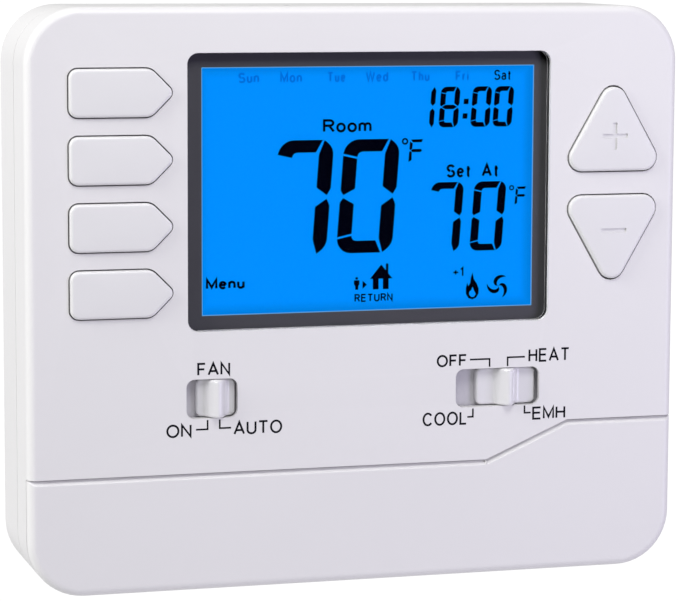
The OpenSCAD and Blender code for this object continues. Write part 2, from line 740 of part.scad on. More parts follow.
module plus_key() triangle_key(plus_mid, 0) translate([0.15, 0.45]) {
    square([sign_l, sign_w], center = true);
    square([sign_w, sign_l], center = true);
}

module minus_key() triangle_key(minus_mid, 180) translate([0.15, -0.55])
    square([sign_l, sign_w], center = true);

module plunger(x, y) color("black") upright() column(x, y, plunger_r, plunger_top - plunger_h, plunger_top);

module soft_plunger(i) plunger(key_x + key_l * 0.45, key_y(i));

/* Knobs */

// A knob: a shutter under the face, a plate in the slot and a rib to push
module knob(x, length, shutter, rib) difference() {
    union() {
        block(x - shutter[0], x + shutter[1], slot_y - slot_h / 2 - knob_lip,
            slot_y + slot_h / 2 + knob_lip, knob_back, knob_mid);
        slab(knob_mid - 0.1, knob_top) translate([x, slot_y]) rounded_rect(length, knob_h, 1.2);
        translate([x, slot_y + knob_h / 2, 0]) rotate([90, 0, 0]) linear_extrude(knob_h)
            polygon(concat([[-rib, knob_top - 0.1]], arc(0, rib_top - rib / 2, rib / 2, 160, 20),
                [[rib, knob_top - 0.1]]));
    }
    block(x - slider_l / 2, x + slider_l / 2, slot_y - slider_w / 2, slot_y + slider_w / 2,
        knob_back - cut, knob_mid + 0.4);
}

module slider(x) block(x - slider_l / 2, x + slider_l / 2, slot_y - slider_w / 2,
    slot_y + slider_w / 2, board_front + 1, knob_mid + 0.4);

module fan_knob() color("white") upright()
    knob(fan_rest, fan_knob_l, [1, 1] * (fan_knob_l / 2 + fan_travel + 0.5), rib_half);

module fan_slider() color("dimgray") upright() slider(fan_rest);

module system_knob() color("white") upright()
    knob(system_rest, system_knob_l, [system_slot_l / 2 + 1.5 * system_step + 0.8,
        system_slot_l / 2 + 1.5 * system_step + 0.4], rib_half * 0.9);

module system_slider() color("dimgray") upright() slider(system_rest);

wall_plate();
terminal_block(-1);  // terminal_block_left
terminal_block(1);  // terminal_block_right
terminal_screws();
wire_clamps();
socket_contacts();
rear_case();
front_case();
case_screws();
main_board();
board_screws();
display_window();
window_mask();
lcd_frame();
lcd_panel();
backlight_guide();
backlight_leds();
zebra_strip();
relays();
header_strips();
header_pins();
control_chip();
capacitors();
crystal();
thermistor();
tact_switches();
fan_switch_body();
system_switch_body();
battery(-1);  // battery_left
battery(1);  // battery_right
battery_springs();
battery_plates();
battery_door();
soft_key(0);  // soft_key_1
soft_key(1);  // soft_key_2
soft_key(2);  // soft_key_3
soft_key(3);  // soft_key_4
plus_key();
minus_key();
soft_plunger(0);  // plunger_1
soft_plunger(1);  // plunger_2
soft_plunger(2);  // plunger_3
soft_plunger(3);  // plunger_4
plunger(tri_x, plus_mid);  // plunger_plus
plunger(tri_x, minus_mid);  // plunger_minus
fan_knob();
fan_slider();
system_knob();
system_slider();
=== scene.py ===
"""Wall thermostat: case, keys, knobs, lit display, printed labels and electronics, round the fixed frame."""

import json
import math

import bmesh
import bpy
from bpy.props import FloatProperty, FloatVectorProperty, PointerProperty
from mathutils import Matrix, Vector


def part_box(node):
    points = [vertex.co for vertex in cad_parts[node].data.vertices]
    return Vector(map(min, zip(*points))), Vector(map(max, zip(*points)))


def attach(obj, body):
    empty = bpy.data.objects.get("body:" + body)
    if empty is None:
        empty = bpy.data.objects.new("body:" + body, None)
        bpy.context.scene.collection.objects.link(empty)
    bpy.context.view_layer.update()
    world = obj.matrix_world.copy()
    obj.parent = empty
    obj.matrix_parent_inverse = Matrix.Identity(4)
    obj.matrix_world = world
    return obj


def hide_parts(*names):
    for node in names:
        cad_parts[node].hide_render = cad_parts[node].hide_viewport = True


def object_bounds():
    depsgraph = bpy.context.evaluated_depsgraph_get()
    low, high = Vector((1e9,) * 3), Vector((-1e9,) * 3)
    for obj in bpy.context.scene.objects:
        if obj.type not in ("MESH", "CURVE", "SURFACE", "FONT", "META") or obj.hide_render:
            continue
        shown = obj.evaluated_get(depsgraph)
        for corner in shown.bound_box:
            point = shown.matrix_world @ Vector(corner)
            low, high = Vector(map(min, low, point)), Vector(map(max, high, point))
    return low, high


bl_info = {
    "name": "Wall Thermostat",
    "version": (1, 0, 0),
    "blender": (4, 5, 0),
    "location": "View3D > Sidebar > Thermostat",
    "description": "Builds the looks of a wall thermostat round its frame",
    "category": "Object",
}

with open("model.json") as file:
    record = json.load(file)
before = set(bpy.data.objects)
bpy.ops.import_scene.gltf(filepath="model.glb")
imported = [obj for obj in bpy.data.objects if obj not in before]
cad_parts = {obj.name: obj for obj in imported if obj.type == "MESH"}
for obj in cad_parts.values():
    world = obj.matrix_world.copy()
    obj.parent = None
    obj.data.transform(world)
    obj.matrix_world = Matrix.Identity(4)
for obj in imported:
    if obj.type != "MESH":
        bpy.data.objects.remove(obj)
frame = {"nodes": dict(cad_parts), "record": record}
CAD_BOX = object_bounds()
NODES = frame["nodes"]
BODY_OF = {node: body for body, nodes in frame["record"]["behaviour"]["bodies"].items() for node in nodes}
MM = 0.001
FACE = -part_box("front_case")[0].y / MM       # how far the front face stands out of the wall
SCREEN = -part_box("lcd_panel")[0].y / MM      # the same for the front of the display glass


# ---------------------------------------------------------------- sizes and colours

def number(name, description, default, low, high):
    return FloatProperty(name=name, description=description, default=default, min=low, max=high)


class ThermostatSizes(bpy.types.PropertyGroup):
    """Sizes in millimetres of what the frame leaves to the looks. The slant is a ratio"""
    shell_edge: number("Shell Edge", "Rounding of the case's sharp edges", 0.14, 0.02, 0.3)
    plate_edge: number("Plate Edge", "Rounding of the wall plate's edges", 0.45, 0.1, 0.8)
    door_edge: number("Door Edge", "Rounding of the battery door's edges", 0.16, 0.02, 0.3)
    key_edge: number("Key Edge", "Rounding of the keys' front edges", 0.55, 0.1, 0.8)
    key_crown: number("Key Crown", "How far the keys bulge", 0.12, 0.0, 0.4)
    key_flange: number("Key Flange", "How far a key reaches under the face", 0.6, 0.3, 1.0)
    key_corner: number("Key Corner", "Corner radius of the side keys", 1.6, 0.5, 2.5)
    key_shoulder: number("Key Shoulder", "Radius where a side key starts to taper", 2.5, 0.5, 4.0)
    key_tip: number("Key Tip", "Radius of a side key's tip", 1.2, 0.3, 2.0)
    triangle_corner: number("Triangle Corner", "Corner radius of the triangular keys", 2.45, 1.0, 3.5)
    sign_length: number("Sign Length", "Length of the plus and minus strokes", 4.9, 2.0, 7.0)
    sign_width: number("Sign Width", "Width of the plus and minus strokes", 0.85, 0.3, 1.5)
    sign_depth: number("Sign Depth", "Depth of the plus and minus strokes", 0.3, 0.1, 0.5)
    fan_plate: number("Fan Plate", "Length of the fan knob's raised plate", 7.1, 5.0, 8.0)
    system_plate: number("System Plate", "Length of the system knob's raised plate", 11.3, 8.0, 12.0)
    rib_width: number("Rib Width", "Width of a knob's rib", 3.6, 2.0, 5.0)
    knob_rise: number("Knob Rise", "How far a knob's rib stands out of its plate", 2.6, 1.0, 3.0)
    knob_corner: number("Knob Corner", "Corner radius of a knob's raised plate", 1.1, 0.5, 2.0)
    knob_edge: number("Knob Edge", "Rounding of a knob's front edges", 0.45, 0.1, 0.8)
    border: number("Border", "Width of the window's printed border", 2.5, 1.0, 4.0)
    border_shift: number("Border Shift", "How far the border's opening sits to the right", 0.15, 0.0, 0.5)
    window_corner: number("Window Corner", "Corner radius of the window", 2.0, 0.5, 4.0)
    window_edge: number("Window Edge", "Rounding of the window's front edge", 0.25, 0.1, 0.5)
    ink: number("Ink", "Thickness of printed marks", 0.02, 0.01, 0.1)
    line: number("Line", "Width of the printed leader lines", 0.3, 0.1, 0.6)
    slant: number("Slant", "Lean of the display's digits", 0.075, 0.0, 0.2)


def colour(name, description, value):
    return FloatVectorProperty(name=name, description=description, subtype="COLOR", size=3, default=value,
                               min=0.0, max=1.0)


class ThermostatColours(bpy.types.PropertyGroup):
    """Colours, as linear light"""
    case: colour("Case", "Moulded case", (0.755, 0.748, 0.745))
    keys: colour("Keys", "Keys", (0.74, 0.737, 0.735))
    knobs: colour("Knobs", "Slide knobs", (0.74, 0.735, 0.75))
    border: colour("Border", "Printed border of the window", (0.104, 0.106, 0.112))
    screen: colour("Screen", "Lit display", (0.0, 0.275, 1.0))
    faint: colour("Faint Ink", "Segments that are off", (0.0, 0.14, 0.74))
    ink: colour("Ink", "Segments and labels", (0.004, 0.004, 0.008))
    # Colour of the glowing strip that paints the highlight on the edge of the display's opening.
    rim: colour("Screen Rim", "Edge of the display's opening", (0.11, 0.34, 0.66))
    board: colour("Board", "Circuit board", (0.012, 0.11, 0.045))
    relay: colour("Relay", "Relay cases", (0.012, 0.055, 0.22))
    terminal: colour("Terminal", "Terminal blocks", (0.02, 0.21, 0.085))
    battery: colour("Battery", "Battery jackets", (0.035, 0.045, 0.07))
    battery_top: colour("Battery Band", "Upper band of the battery jackets", (0.55, 0.26, 0.07))


class StageSettings(bpy.types.PropertyGroup):
    """Camera and light"""
    yaw: FloatProperty(name="Yaw", description="Turn of the camera to the left", subtype="ANGLE",
                       default=math.radians(16.28))
    pitch: FloatProperty(name="Pitch", description="How far the camera looks down", subtype="ANGLE",
                         default=math.radians(7.061))
    roll: FloatProperty(name="Roll", description="Roll of the camera", subtype="ANGLE",
                        default=math.radians(0.223))
    distance: FloatProperty(name="Distance", description="Camera to its aim", default=0.5127,
                            subtype="DISTANCE", unit="LENGTH", precision=4)
    aim: FloatVectorProperty(name="Aim", description="Point that the camera looks at", size=3,
                             default=(-0.0039, -0.024, -0.0005), subtype="TRANSLATION", unit="LENGTH")
    lens: number("Lens", "Focal length in millimetres", 153.17, 20.0, 300.0)
    world: number("World", "Brightness of the surroundings", 0.42, 0.0, 3.0)
    floor_drop: FloatProperty(name="Floor Drop", description="Floor below the object", default=0.45,
                              subtype="DISTANCE", unit="LENGTH")
    top_power: FloatProperty(name="Top Light", description="Power of the light above, in watts", default=0.62)
    right_power: FloatProperty(name="Right Light", description="Power of the light at the right, in watts",
                               default=1.45)
    left_power: FloatProperty(name="Left Light", description="Power of the light at the left, in watts",
                              default=6.9)


def sizes():
    return bpy.context.scene.thermostat_sizes


def colours():
    return bpy.context.scene.thermostat_colours


# ---------------------------------------------------------------- node groups

def new_group(name, ins, outs):
    group = bpy.data.node_groups.new(name, "ShaderNodeTree")
    for label, kind, value in ins:
        socket = group.interface.new_socket(label, in_out="INPUT", socket_type="NodeSocket" + kind)
        if value is not None:
            socket.default_value = value
    for label, kind in outs:
        group.interface.new_socket(label, in_out="OUTPUT", socket_type="NodeSocket" + kind)
    return group, group.nodes.new("NodeGroupInput"), group.nodes.new("NodeGroupOutput")


def node(tree, kind, **values):
    made = tree.nodes.new(kind)
    for key, value in values.items():
        if key.startswith("_"):
            setattr(made, key[1:], value)
        else:
            made.inputs[key.replace("_", " ")].default_value = value
    return made


def moulded_grain():
    """Fine spark-eroded texture: a height for bump and a slow drift for colour and gloss."""
    tree, enter, leave = new_group("Moulded Grain", [("Vector", "Vector", None), ("Grain", "Float", 5200.0),
                                                     ("Drift", "Float", 45.0)],
                                   [("Height", "Float"), ("Drift", "Float")])
    fine = node(tree, "ShaderNodeTexNoise", Detail=3.0, Roughness=0.6)
    pits = node(tree, "ShaderNodeTexVoronoi", _feature="SMOOTH_F1", Smoothness=0.6)
    slow = node(tree, "ShaderNodeTexNoise", Detail=2.0, Roughness=0.5)
    add = node(tree, "ShaderNodeMath", _operation="MULTIPLY_ADD")
    add.inputs[1].default_value = 0.45
    link = tree.links.new
    for texture, scale in ((fine, "Grain"), (pits, "Grain"), (slow, "Drift")):
        link(enter.outputs["Vector"], texture.inputs["Vector"])
        link(enter.outputs[scale], texture.inputs["Scale"])
    link(pits.outputs["Distance"], add.inputs[0])
    link(fine.outputs["Fac"], add.inputs[2])
    link(add.outputs["Value"], leave.inputs["Height"])
    link(slow.outputs["Fac"], leave.inputs["Drift"])
    return tree


def broken_mask(name, amount, texture, ramp, pick):
    """A group whose mask follows one value of the surface through a ramp, broken up by noise."""
    tree, enter, leave = new_group(name, [("Vector", "Vector", None), ("Amount", "Float", amount)],
                                   [("Mask", "Float")])
    noise = node(tree, "ShaderNodeTexNoise", **texture)
    level = node(tree, "ShaderNodeMapRange", **ramp)
    both = node(tree, "ShaderNodeMath", _operation="MULTIPLY")
    scaled = node(tree, "ShaderNodeMath", _operation="MULTIPLY", _use_clamp=True)
    link = tree.links.new
    link(pick(tree, node(tree, "ShaderNodeNewGeometry")), level.inputs["Value"])
    link(enter.outputs["Vector"], noise.inputs["Vector"])
    link(level.outputs["Result"], both.inputs[0])
    link(noise.outputs["Fac"], both.inputs[1])
    link(both.outputs["Value"], scaled.inputs[0])
    link(enter.outputs["Amount"], scaled.inputs[1])
    link(scaled.outputs["Value"], leave.inputs["Mask"])
    return tree


def worn_edges():
    """A mask that is bright on convex edges."""
    return broken_mask("Worn Edges", 0.5, {"Scale": 900.0, "Detail": 4.0},
                       {"From_Min": 0.52, "From_Max": 0.62},
                       lambda tree, geometry: geometry.outputs["Pointiness"])


def settled_dust():
    """A mask that gathers on faces that look up, in soft patches."""
    def upward(tree, geometry):
        split = node(tree, "ShaderNodeSeparateXYZ")
        tree.links.new(geometry.outputs["Normal"], split.inputs["Vector"])
        return split.outputs["Z"]
    return broken_mask("Settled Dust", 0.3, {"Scale": 160.0, "Detail": 5.0, "Roughness": 0.65},
                       {"From_Min": 0.3, "From_Max": 1.0}, upward)


GROUP_MAKERS = {"Moulded Grain": moulded_grain, "Worn Edges": worn_edges, "Settled Dust": settled_dust}


def group_node(tree, name, **values):
    made = tree.nodes.new("ShaderNodeGroup")
    made.node_tree = bpy.data.node_groups.get(name) or GROUP_MAKERS[name]()
    for key, value in values.items():
        made.inputs[key].default_value = value
    return made


# ---------------------------------------------------------------- materials

GLOSS_SPREAD = 0.06      # how far the roughness strays to each side of its value
EDGE_LIFT = 5            # how many times the drift a worn edge is lighter
DUST_TONE = 0.86         # tone of dust, as a share of the finish under it
COAT_ROUGHNESS = 0.15


def mix_colour(tree, factor, first, second):
    mix = tree.nodes.new("ShaderNodeMix")
    mix.data_type = "RGBA"
    for socket, value in ((mix.inputs[6], first), (mix.inputs[7], second)):
        if isinstance(value, bpy.types.NodeSocket):
            tree.links.new(value, socket)
        else:
            socket.default_value = (*value, 1.0)
    tree.links.new(factor, mix.inputs[0])
    return mix.outputs[2]


def tinted(value, factor):
    return tuple(min(1.0, max(0.0, c * factor)) for c in value)


def blank_material(name):
    material = bpy.data.materials.new(name)
    material.use_nodes = True
    tree = material.node_tree
    shader = tree.nodes["Principled BSDF"]
    where = tree.nodes.new("ShaderNodeTexCoord").outputs["Object"]
    return material, tree, shader, where


def effect(tree, where, name, **values):
    """One of the node groups, laid out on the object's own coordinates."""
    made = group_node(tree, name, **values)
    tree.links.new(where, made.inputs["Vector"])
    return made


def vary_gloss(tree, shader, mask, low, high):
    gloss = node(tree, "ShaderNodeMapRange", To_Min=low, To_Max=high)
    tree.links.new(mask, gloss.inputs["Value"])
    tree.links.new(gloss.outputs["Result"], shader.inputs["Roughness"])


def emboss(tree, shader, height, strength, depth):
    bump = node(tree, "ShaderNodeBump", Strength=strength, Distance=depth)
    tree.links.new(height, bump.inputs["Height"])
    tree.links.new(bump.outputs["Normal"], shader.inputs["Normal"])


def moulded(name, base, roughness=0.42, grain=5200.0, depth=0.000010, drift=0.03, wear=0.25, dust=0.0,
            metallic=0.0, coat=0.0, drift_scale=45.0, strength=0.35, specular=0.5):
    """A moulded or cast finish: fine grain, slow drift of tone and gloss, lighter edges and a little dust."""
    found = bpy.data.materials.get(name)
    if found:
        return found
    material, tree, shader, where = blank_material(name)
    texture = effect(tree, where, "Moulded Grain", Grain=grain, Drift=drift_scale)
    edges = effect(tree, where, "Worn Edges", Amount=wear)
    toned = mix_colour(tree, texture.outputs["Drift"], tinted(base, 1.0 - drift), tinted(base, 1.0 + drift))
    toned = mix_colour(tree, edges.outputs["Mask"], toned, tinted(base, 1.0 + EDGE_LIFT * drift))
    if dust:
        film = effect(tree, where, "Settled Dust", Amount=dust)
        toned = mix_colour(tree, film.outputs["Mask"], toned, tinted(base, DUST_TONE))
    tree.links.new(toned, shader.inputs["Base Color"])
    vary_gloss(tree, shader, texture.outputs["Drift"], roughness - GLOSS_SPREAD, roughness + GLOSS_SPREAD)
    emboss(tree, shader, texture.outputs["Height"], strength, depth)
    shader.inputs["Metallic"].default_value = metallic
    shader.inputs["Specular IOR Level"].default_value = specular
    shader.inputs["Coat Weight"].default_value = coat
    shader.inputs["Coat Roughness"].default_value = COAT_ROUGHNESS
    return material


def case_plastic():
    return moulded("case_plastic", colours().case, roughness=0.40, grain=4200.0, depth=0.000012, drift=0.012,
                   wear=0.3, dust=0.12, drift_scale=30.0)


def key_plastic():
    return moulded("key_plastic", colours().keys, roughness=0.36, grain=6000.0, depth=0.000008, drift=0.01,
                   wear=0.3)


def knob_plastic():
    return moulded("knob_plastic", colours().knobs, roughness=0.16, grain=3000.0, depth=0.000003, drift=0.012,
                   wear=0.2, coat=0.5)


# Mid grey on the knobs' white shutters: painted shade on the floor of the slots.
def shutter_painted_shade():
    return moulded("shutter_painted_shade", (0.54, 0.53, 0.56), roughness=0.4, drift=0.03)


def dark_plastic():
    return moulded("dark_plastic", (0.012, 0.012, 0.013), roughness=0.45, drift=0.15)


def plated_steel():
    return moulded("plated_steel", (0.62, 0.62, 0.64), roughness=0.28, grain=2500.0, depth=0.000006,
                   drift=0.05, metallic=1.0)


def plated_brass():
    return moulded("plated_brass", (0.72, 0.52, 0.22), roughness=0.3, grain=2500.0, depth=0.000006,
                   drift=0.06, metallic=1.0)


def gold_plating():
    return moulded("gold_plating", (0.85, 0.62, 0.22), roughness=0.2, grain=3000.0, depth=0.000003,
                   drift=0.04, metallic=1.0)


def natural_plastic():
    return moulded("natural_plastic", (0.62, 0.61, 0.57), roughness=0.5, drift=0.04)


def frosted_acrylic():
    return moulded("frosted_acrylic", (0.72, 0.82, 0.9), roughness=0.55, grain=2600.0, depth=0.00001,
                   drift=0.03, coat=0.3)


def led_body():
    return moulded("led_body", (0.85, 0.75, 0.35), roughness=0.3)


def capacitor_sleeve():
    return moulded("capacitor_sleeve", (0.03, 0.07, 0.16), roughness=0.3, drift=0.05)


def bead_lacquer():
    return moulded("bead_lacquer", (0.09, 0.03, 0.012), roughness=0.25)


def rubber():
    return moulded("soft_rubber", (0.02, 0.02, 0.021), roughness=0.7, grain=2600.0, depth=0.00002, drift=0.1)


def relay_plastic():
    return moulded("relay_plastic", colours().relay, roughness=0.38, drift=0.06)


def terminal_plastic():
    return moulded("terminal_plastic", colours().terminal, roughness=0.42, drift=0.06)


def printed_border():
    return moulded("printed_border", colours().border, roughness=0.5, grain=7000.0, depth=0.000004,
                   drift=0.03, wear=0.0)


def ink():
    return moulded("label_ink", colours().ink, roughness=0.6, grain=9000.0, depth=0.000003, drift=0.1,
                   wear=0.0, specular=0.1)


def screen_ink():
    return glowing("screen_ink", (0.0, 0.0, 0.002))


def solder_mask():
    """Circuit board: green lacquer over traces that stand out a little."""
    material, tree, shader, where = blank_material("solder_mask")
    link = tree.links.new
    traces = node(tree, "ShaderNodeTexBrick", Scale=110.0, Mortar_Size=0.03, Mortar_Smooth=0.2)
    turn = node(tree, "ShaderNodeMapping")
    turn.inputs["Rotation"].default_value = (math.radians(90), 0.0, 0.0)
    weave = node(tree, "ShaderNodeTexNoise", Scale=2200.0, Detail=2.0)
    link(where, turn.inputs["Vector"])
    link(turn.outputs["Vector"], traces.inputs["Vector"])
    link(where, weave.inputs["Vector"])
    green = colours().board
    toned = mix_colour(tree, traces.outputs["Fac"], green, tinted(green, 1.9))
    toned = mix_colour(tree, weave.outputs["Fac"], toned, tinted(green, 0.8))
    link(toned, shader.inputs["Base Color"])
    vary_gloss(tree, shader, weave.outputs["Fac"], 0.25, 0.4)
    emboss(tree, shader, traces.outputs["Fac"], 0.4, 0.00003)
    return material


def clear_window():
    """Polished clear plastic that lets lamp light through to the print behind it."""
    material, tree, shader, where = blank_material("clear_window")
    link = tree.links.new
    shader.inputs["Base Color"].default_value = (0.98, 0.99, 1.0, 1.0)
    shader.inputs["Transmission Weight"].default_value = 1.0
    shader.inputs["IOR"].default_value = 1.09
    smears = effect(tree, where, "Moulded Grain", Grain=60.0, Drift=18.0)
    vary_gloss(tree, shader, smears.outputs["Drift"], 0.0, 0.03)
    clear = node(tree, "ShaderNodeBsdfTransparent")
    mix = node(tree, "ShaderNodeMixShader")
    path = node(tree, "ShaderNodeLightPath")
    link(path.outputs["Is Shadow Ray"], mix.inputs["Fac"])
    link(shader.outputs["BSDF"], mix.inputs[1])
    link(clear.outputs["BSDF"], mix.inputs[2])
    link(mix.outputs["Shader"], tree.nodes["Material Output"].inputs["Surface"])
    return material


SHADE_START, SHADE_STOP = 0.0022, 0.0002     # metres inside and outside the opening's edge
SHADE_TONE = 0.55                            # tone at full shade, as a share of the layer's colour


def opening_edges(tree, where, share):
    """A mask that rises to share at the edges of the display's opening."""
    link = tree.links.new
    low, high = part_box("window_mask")
    centre = (low + high) / 2
    half = (high - low) / 2 - Vector((sizes().border * MM, 0, sizes().border * MM))
    split = node(tree, "ShaderNodeSeparateXYZ")
    link(where, split.inputs["Vector"])
    edge = node(tree, "ShaderNodeMath", _operation="MAXIMUM")
    for i, (axis, middle, reach) in enumerate((("X", centre.x, half.x), ("Z", centre.z, half.z))):
        offset = node(tree, "ShaderNodeMath", _operation="SUBTRACT")
        offset.inputs[1].default_value = middle
        away = node(tree, "ShaderNodeMath", _operation="ABSOLUTE")
        near = node(tree, "ShaderNodeMapRange", From_Min=reach - SHADE_START, From_Max=reach + SHADE_STOP,
                    _interpolation_type="SMOOTHSTEP")
        link(split.outputs[axis], offset.inputs[0])
        link(offset.outputs["Value"], away.inputs[0])
        link(away.outputs["Value"], near.inputs["Value"])
        link(near.outputs["Result"], edge.inputs[i])
    scaled = node(tree, "ShaderNodeMath", _operation="MULTIPLY")
    scaled.inputs[1].default_value = share
    link(edge.outputs["Value"], scaled.inputs[0])
    return scaled.outputs["Value"]


def glowing(name, value, edge_shade=0.0):
    """A lit layer of the display, darker by edge_shade towards the edges of its opening."""
    found = bpy.data.materials.get(name)
    if found:
        return found
    material, tree, shader, where = blank_material(name)
    if edge_shade:
        shaded = mix_colour(tree, opening_edges(tree, where, edge_shade), value, tinted(value, SHADE_TONE))
        tree.links.new(shaded, shader.inputs["Emission Color"])
    else:
        shader.inputs["Emission Color"].default_value = (*value, 1.0)
    shader.inputs["Emission Strength"].default_value = 1.0
    shader.inputs["Base Color"].default_value = (0.0, 0.0, 0.0, 1.0)
    shader.inputs["Specular IOR Level"].default_value = 0.0
    texture = effect(tree, where, "Moulded Grain", Grain=3000.0, Drift=40.0)
    vary_gloss(tree, shader, texture.outputs["Drift"], 0.3, 0.5)
    return material


BAND_END = 0.016                         # end of the warm band, from the middle of the case, in metres
LINE_AT, LINE_HALF = 0.0168, 0.0004      # the pale line beside it and half its width


def battery_film():
    """Printed shrink film: a dark body, a warm band towards the plus end, and a thin line between them."""
    found = bpy.data.materials.get("battery_film")
    if found:
        return found
    material, tree, shader, where = blank_material("battery_film")
    link = tree.links.new
    split = node(tree, "ShaderNodeSeparateXYZ")
    away = node(tree, "ShaderNodeMath", _operation="ABSOLUTE")
    band = node(tree, "ShaderNodeMath", _operation="LESS_THAN")
    band.inputs[1].default_value = BAND_END
    line = node(tree, "ShaderNodeMath", _operation="COMPARE")
    line.inputs[1].default_value, line.inputs[2].default_value = LINE_AT, LINE_HALF
    link(where, split.inputs["Vector"])
    link(split.outputs["X"], away.inputs[0])
    link(away.outputs["Value"], band.inputs[0])
    link(away.outputs["Value"], line.inputs[0])
    texture = effect(tree, where, "Moulded Grain", Grain=900.0, Drift=70.0)
    film = colours().battery
    toned = mix_colour(tree, texture.outputs["Drift"], tinted(film, 0.8), tinted(film, 1.3))
    toned = mix_colour(tree, band.outputs["Value"], toned, colours().battery_top)
    toned = mix_colour(tree, line.outputs["Value"], toned, (0.75, 0.75, 0.75))
    link(toned, shader.inputs["Base Color"])
    vary_gloss(tree, shader, texture.outputs["Drift"], 0.2, 0.32)
    emboss(tree, shader, texture.outputs["Height"], 0.2, 0.00002)
    return material


# ---------------------------------------------------------------- outlines, drawn flat in millimetres

def arc(x, y, radius, start, end, steps=8):
    angles = [math.radians(start + (end - start) * i / steps) for i in range(steps + 1)]
    return [(x + radius * math.cos(a), y + radius * math.sin(a)) for a in angles]


def rounded_rect(width, height, radius, grow=0.0, steps=8):
    x, y, r = width / 2 - radius, height / 2 - radius, radius + grow
    return (arc(x, y, r, 0, 90, steps) + arc(-x, y, r, 90, 180, steps)
            + arc(-x, -y, r, 180, 270, steps) + arc(x, -y, r, 270, 360, steps))


def arrow(length, height, grow=0.0):
    """Side key, its flat side at x = 0."""
    s = sizes()
    h, corner, shoulder, tip = height / 2, s.key_corner, s.key_shoulder, s.key_tip
    start = length + tip * (math.sqrt(2) - 1) - h
    cut = shoulder * math.tan(math.radians(22.5))
    return (arc(start - cut, -h + shoulder, shoulder + grow, -90, -45)
            + arc(start + h - tip * math.sqrt(2), 0, tip + grow, -45, 45)
            + arc(start - cut, h - shoulder, shoulder + grow, 45, 90)
            + arc(corner, h - corner, corner + grow, 90, 180)
            + arc(corner, -h + corner, corner + grow, 180, 270))


def triangle(width, grow=0.0, turn=0.0):
    """Triangular key about its centre, point up, turned by an angle in degrees."""
    corner = sizes().triangle_corner
    reach = (width - 2 * corner) / math.sqrt(3)
    points = []
    for middle in (-30, 90, 210):
        x = reach * math.cos(math.radians(middle + turn))
        y = reach * math.sin(math.radians(middle + turn))
        points += arc(x, y, corner + grow, middle + turn - 60, middle + turn + 60)
    return points


def at(points, x, y, depth):
    return [(px + x, py + y, depth) for px, py in points]


def upright(points):
    """Flat drawing to the row frame: x right, y up, z out of the wall."""
    return [(x * MM, -z * MM, y * MM) for x, y, z in points]


# ---------------------------------------------------------------- mesh makers

MERGE = 0.000002             # corners of a CAD mesh nearer than this are one, in metres
FLAT = math.radians(0.6)     # faces that meet at less than this are one


def link_object(name, mesh):
    obj = bpy.data.objects.new(name, mesh)
    bpy.context.scene.collection.objects.link(obj)
    return obj


def shade(obj, angle):
    obj.data.shade_smooth()
    obj.data.set_sharp_from_angle(angle=math.radians(angle))


def built(name, mesh, turn_outwards=True):
    """An object from a finished bmesh, which is freed."""
    if turn_outwards:
        bmesh.ops.recalc_face_normals(mesh, faces=mesh.faces)
    data = bpy.data.meshes.new(name)
    mesh.to_mesh(data)
    mesh.free()
    return link_object(name, data)


def add_outline(mesh, points):
    return [mesh.verts.new(p) for p in upright(points)]


def add_wall(mesh, lower, upper):
    """Faces between two closed rows with equal counts of corners."""
    count = len(lower)
    for i in range(count):
        k = (i + 1) % count
        mesh.faces.new((lower[i], lower[k], upper[k], upper[i]))


def loft(name, rings, crown=None):
    """A skin over rings with equal counts of points. crown is the depth of the centre of a domed end."""
    mesh = bmesh.new()
    rows = [add_outline(mesh, ring) for ring in rings]
    for lower, upper in zip(rows, rows[1:]):
        add_wall(mesh, lower, upper)
    mesh.faces.new(list(reversed(rows[0])))
    if crown is None:
        mesh.faces.new(rows[-1])
    else:
        top = add_outline(mesh, [(*middle_of(rings[-1]), crown)])[0]
        last = rows[-1]
        for i, corner in enumerate(last):
            mesh.faces.new((corner, last[(i + 1) % len(last)], top))
    return built(name, mesh)


def middle_of(points):
    return [sum(p[k] for p in points) / len(points) for k in (0, 1)]


def prism(name, outlines, back, front):
    """Flat shapes with a thickness, in one piece."""
    mesh = bmesh.new()
    for outline in outlines:
        lower, upper = (add_outline(mesh, at(outline, 0, 0, depth)) for depth in (back, front))
        mesh.faces.new(list(reversed(lower)))
        mesh.faces.new(upper)
        add_wall(mesh, lower, upper)
    return built(name, mesh)


def ring_plate(name, outer, inner, back, front):
    """A flat ring between two outlines with equal counts of points."""
    mesh = bmesh.new()
    rows = [add_outline(mesh, at(outline, 0, 0, depth))
            for outline, depth in ((outer, back), (outer, front), (inner, front), (inner, back))]
    for lower, upper in zip(rows, rows[1:] + rows[:1]):
        add_wall(mesh, lower, upper)
    return built(name, mesh)


def join(objects):
    """Joins meshes into the first one's object."""
    whole = bmesh.new()
    for obj in objects:
        whole.from_mesh(obj.data)
    data = bpy.data.meshes.new(objects[0].name)
    whole.to_mesh(data)
    whole.free()
    objects[0].data = data
    for obj in objects[1:]:
        bpy.data.objects.remove(obj)
    return objects[0]


def merged_copy(node_name, name):
    """A CAD node's copy as clean faces: doubles merged, flat areas dissolved and split where concave."""
    mesh = bmesh.new()
    mesh.from_mesh(NODES[node_name].data)
    bmesh.ops.remove_doubles(mesh, verts=mesh.verts, dist=MERGE)
    bmesh.ops.dissolve_limit(mesh, angle_limit=FLAT, verts=mesh.verts, edges=mesh.edges)
    bmesh.ops.connect_verts_concave(mesh, faces=mesh.faces)
    return built(name, mesh, turn_outwards=False)


def apply_modifiers(obj):
    graph = bpy.context.evaluated_depsgraph_get()
    graph.update()
    made = bpy.data.meshes.new_from_object(obj.evaluated_get(graph))
    obj.modifiers.clear()
    obj.data = made
    return obj


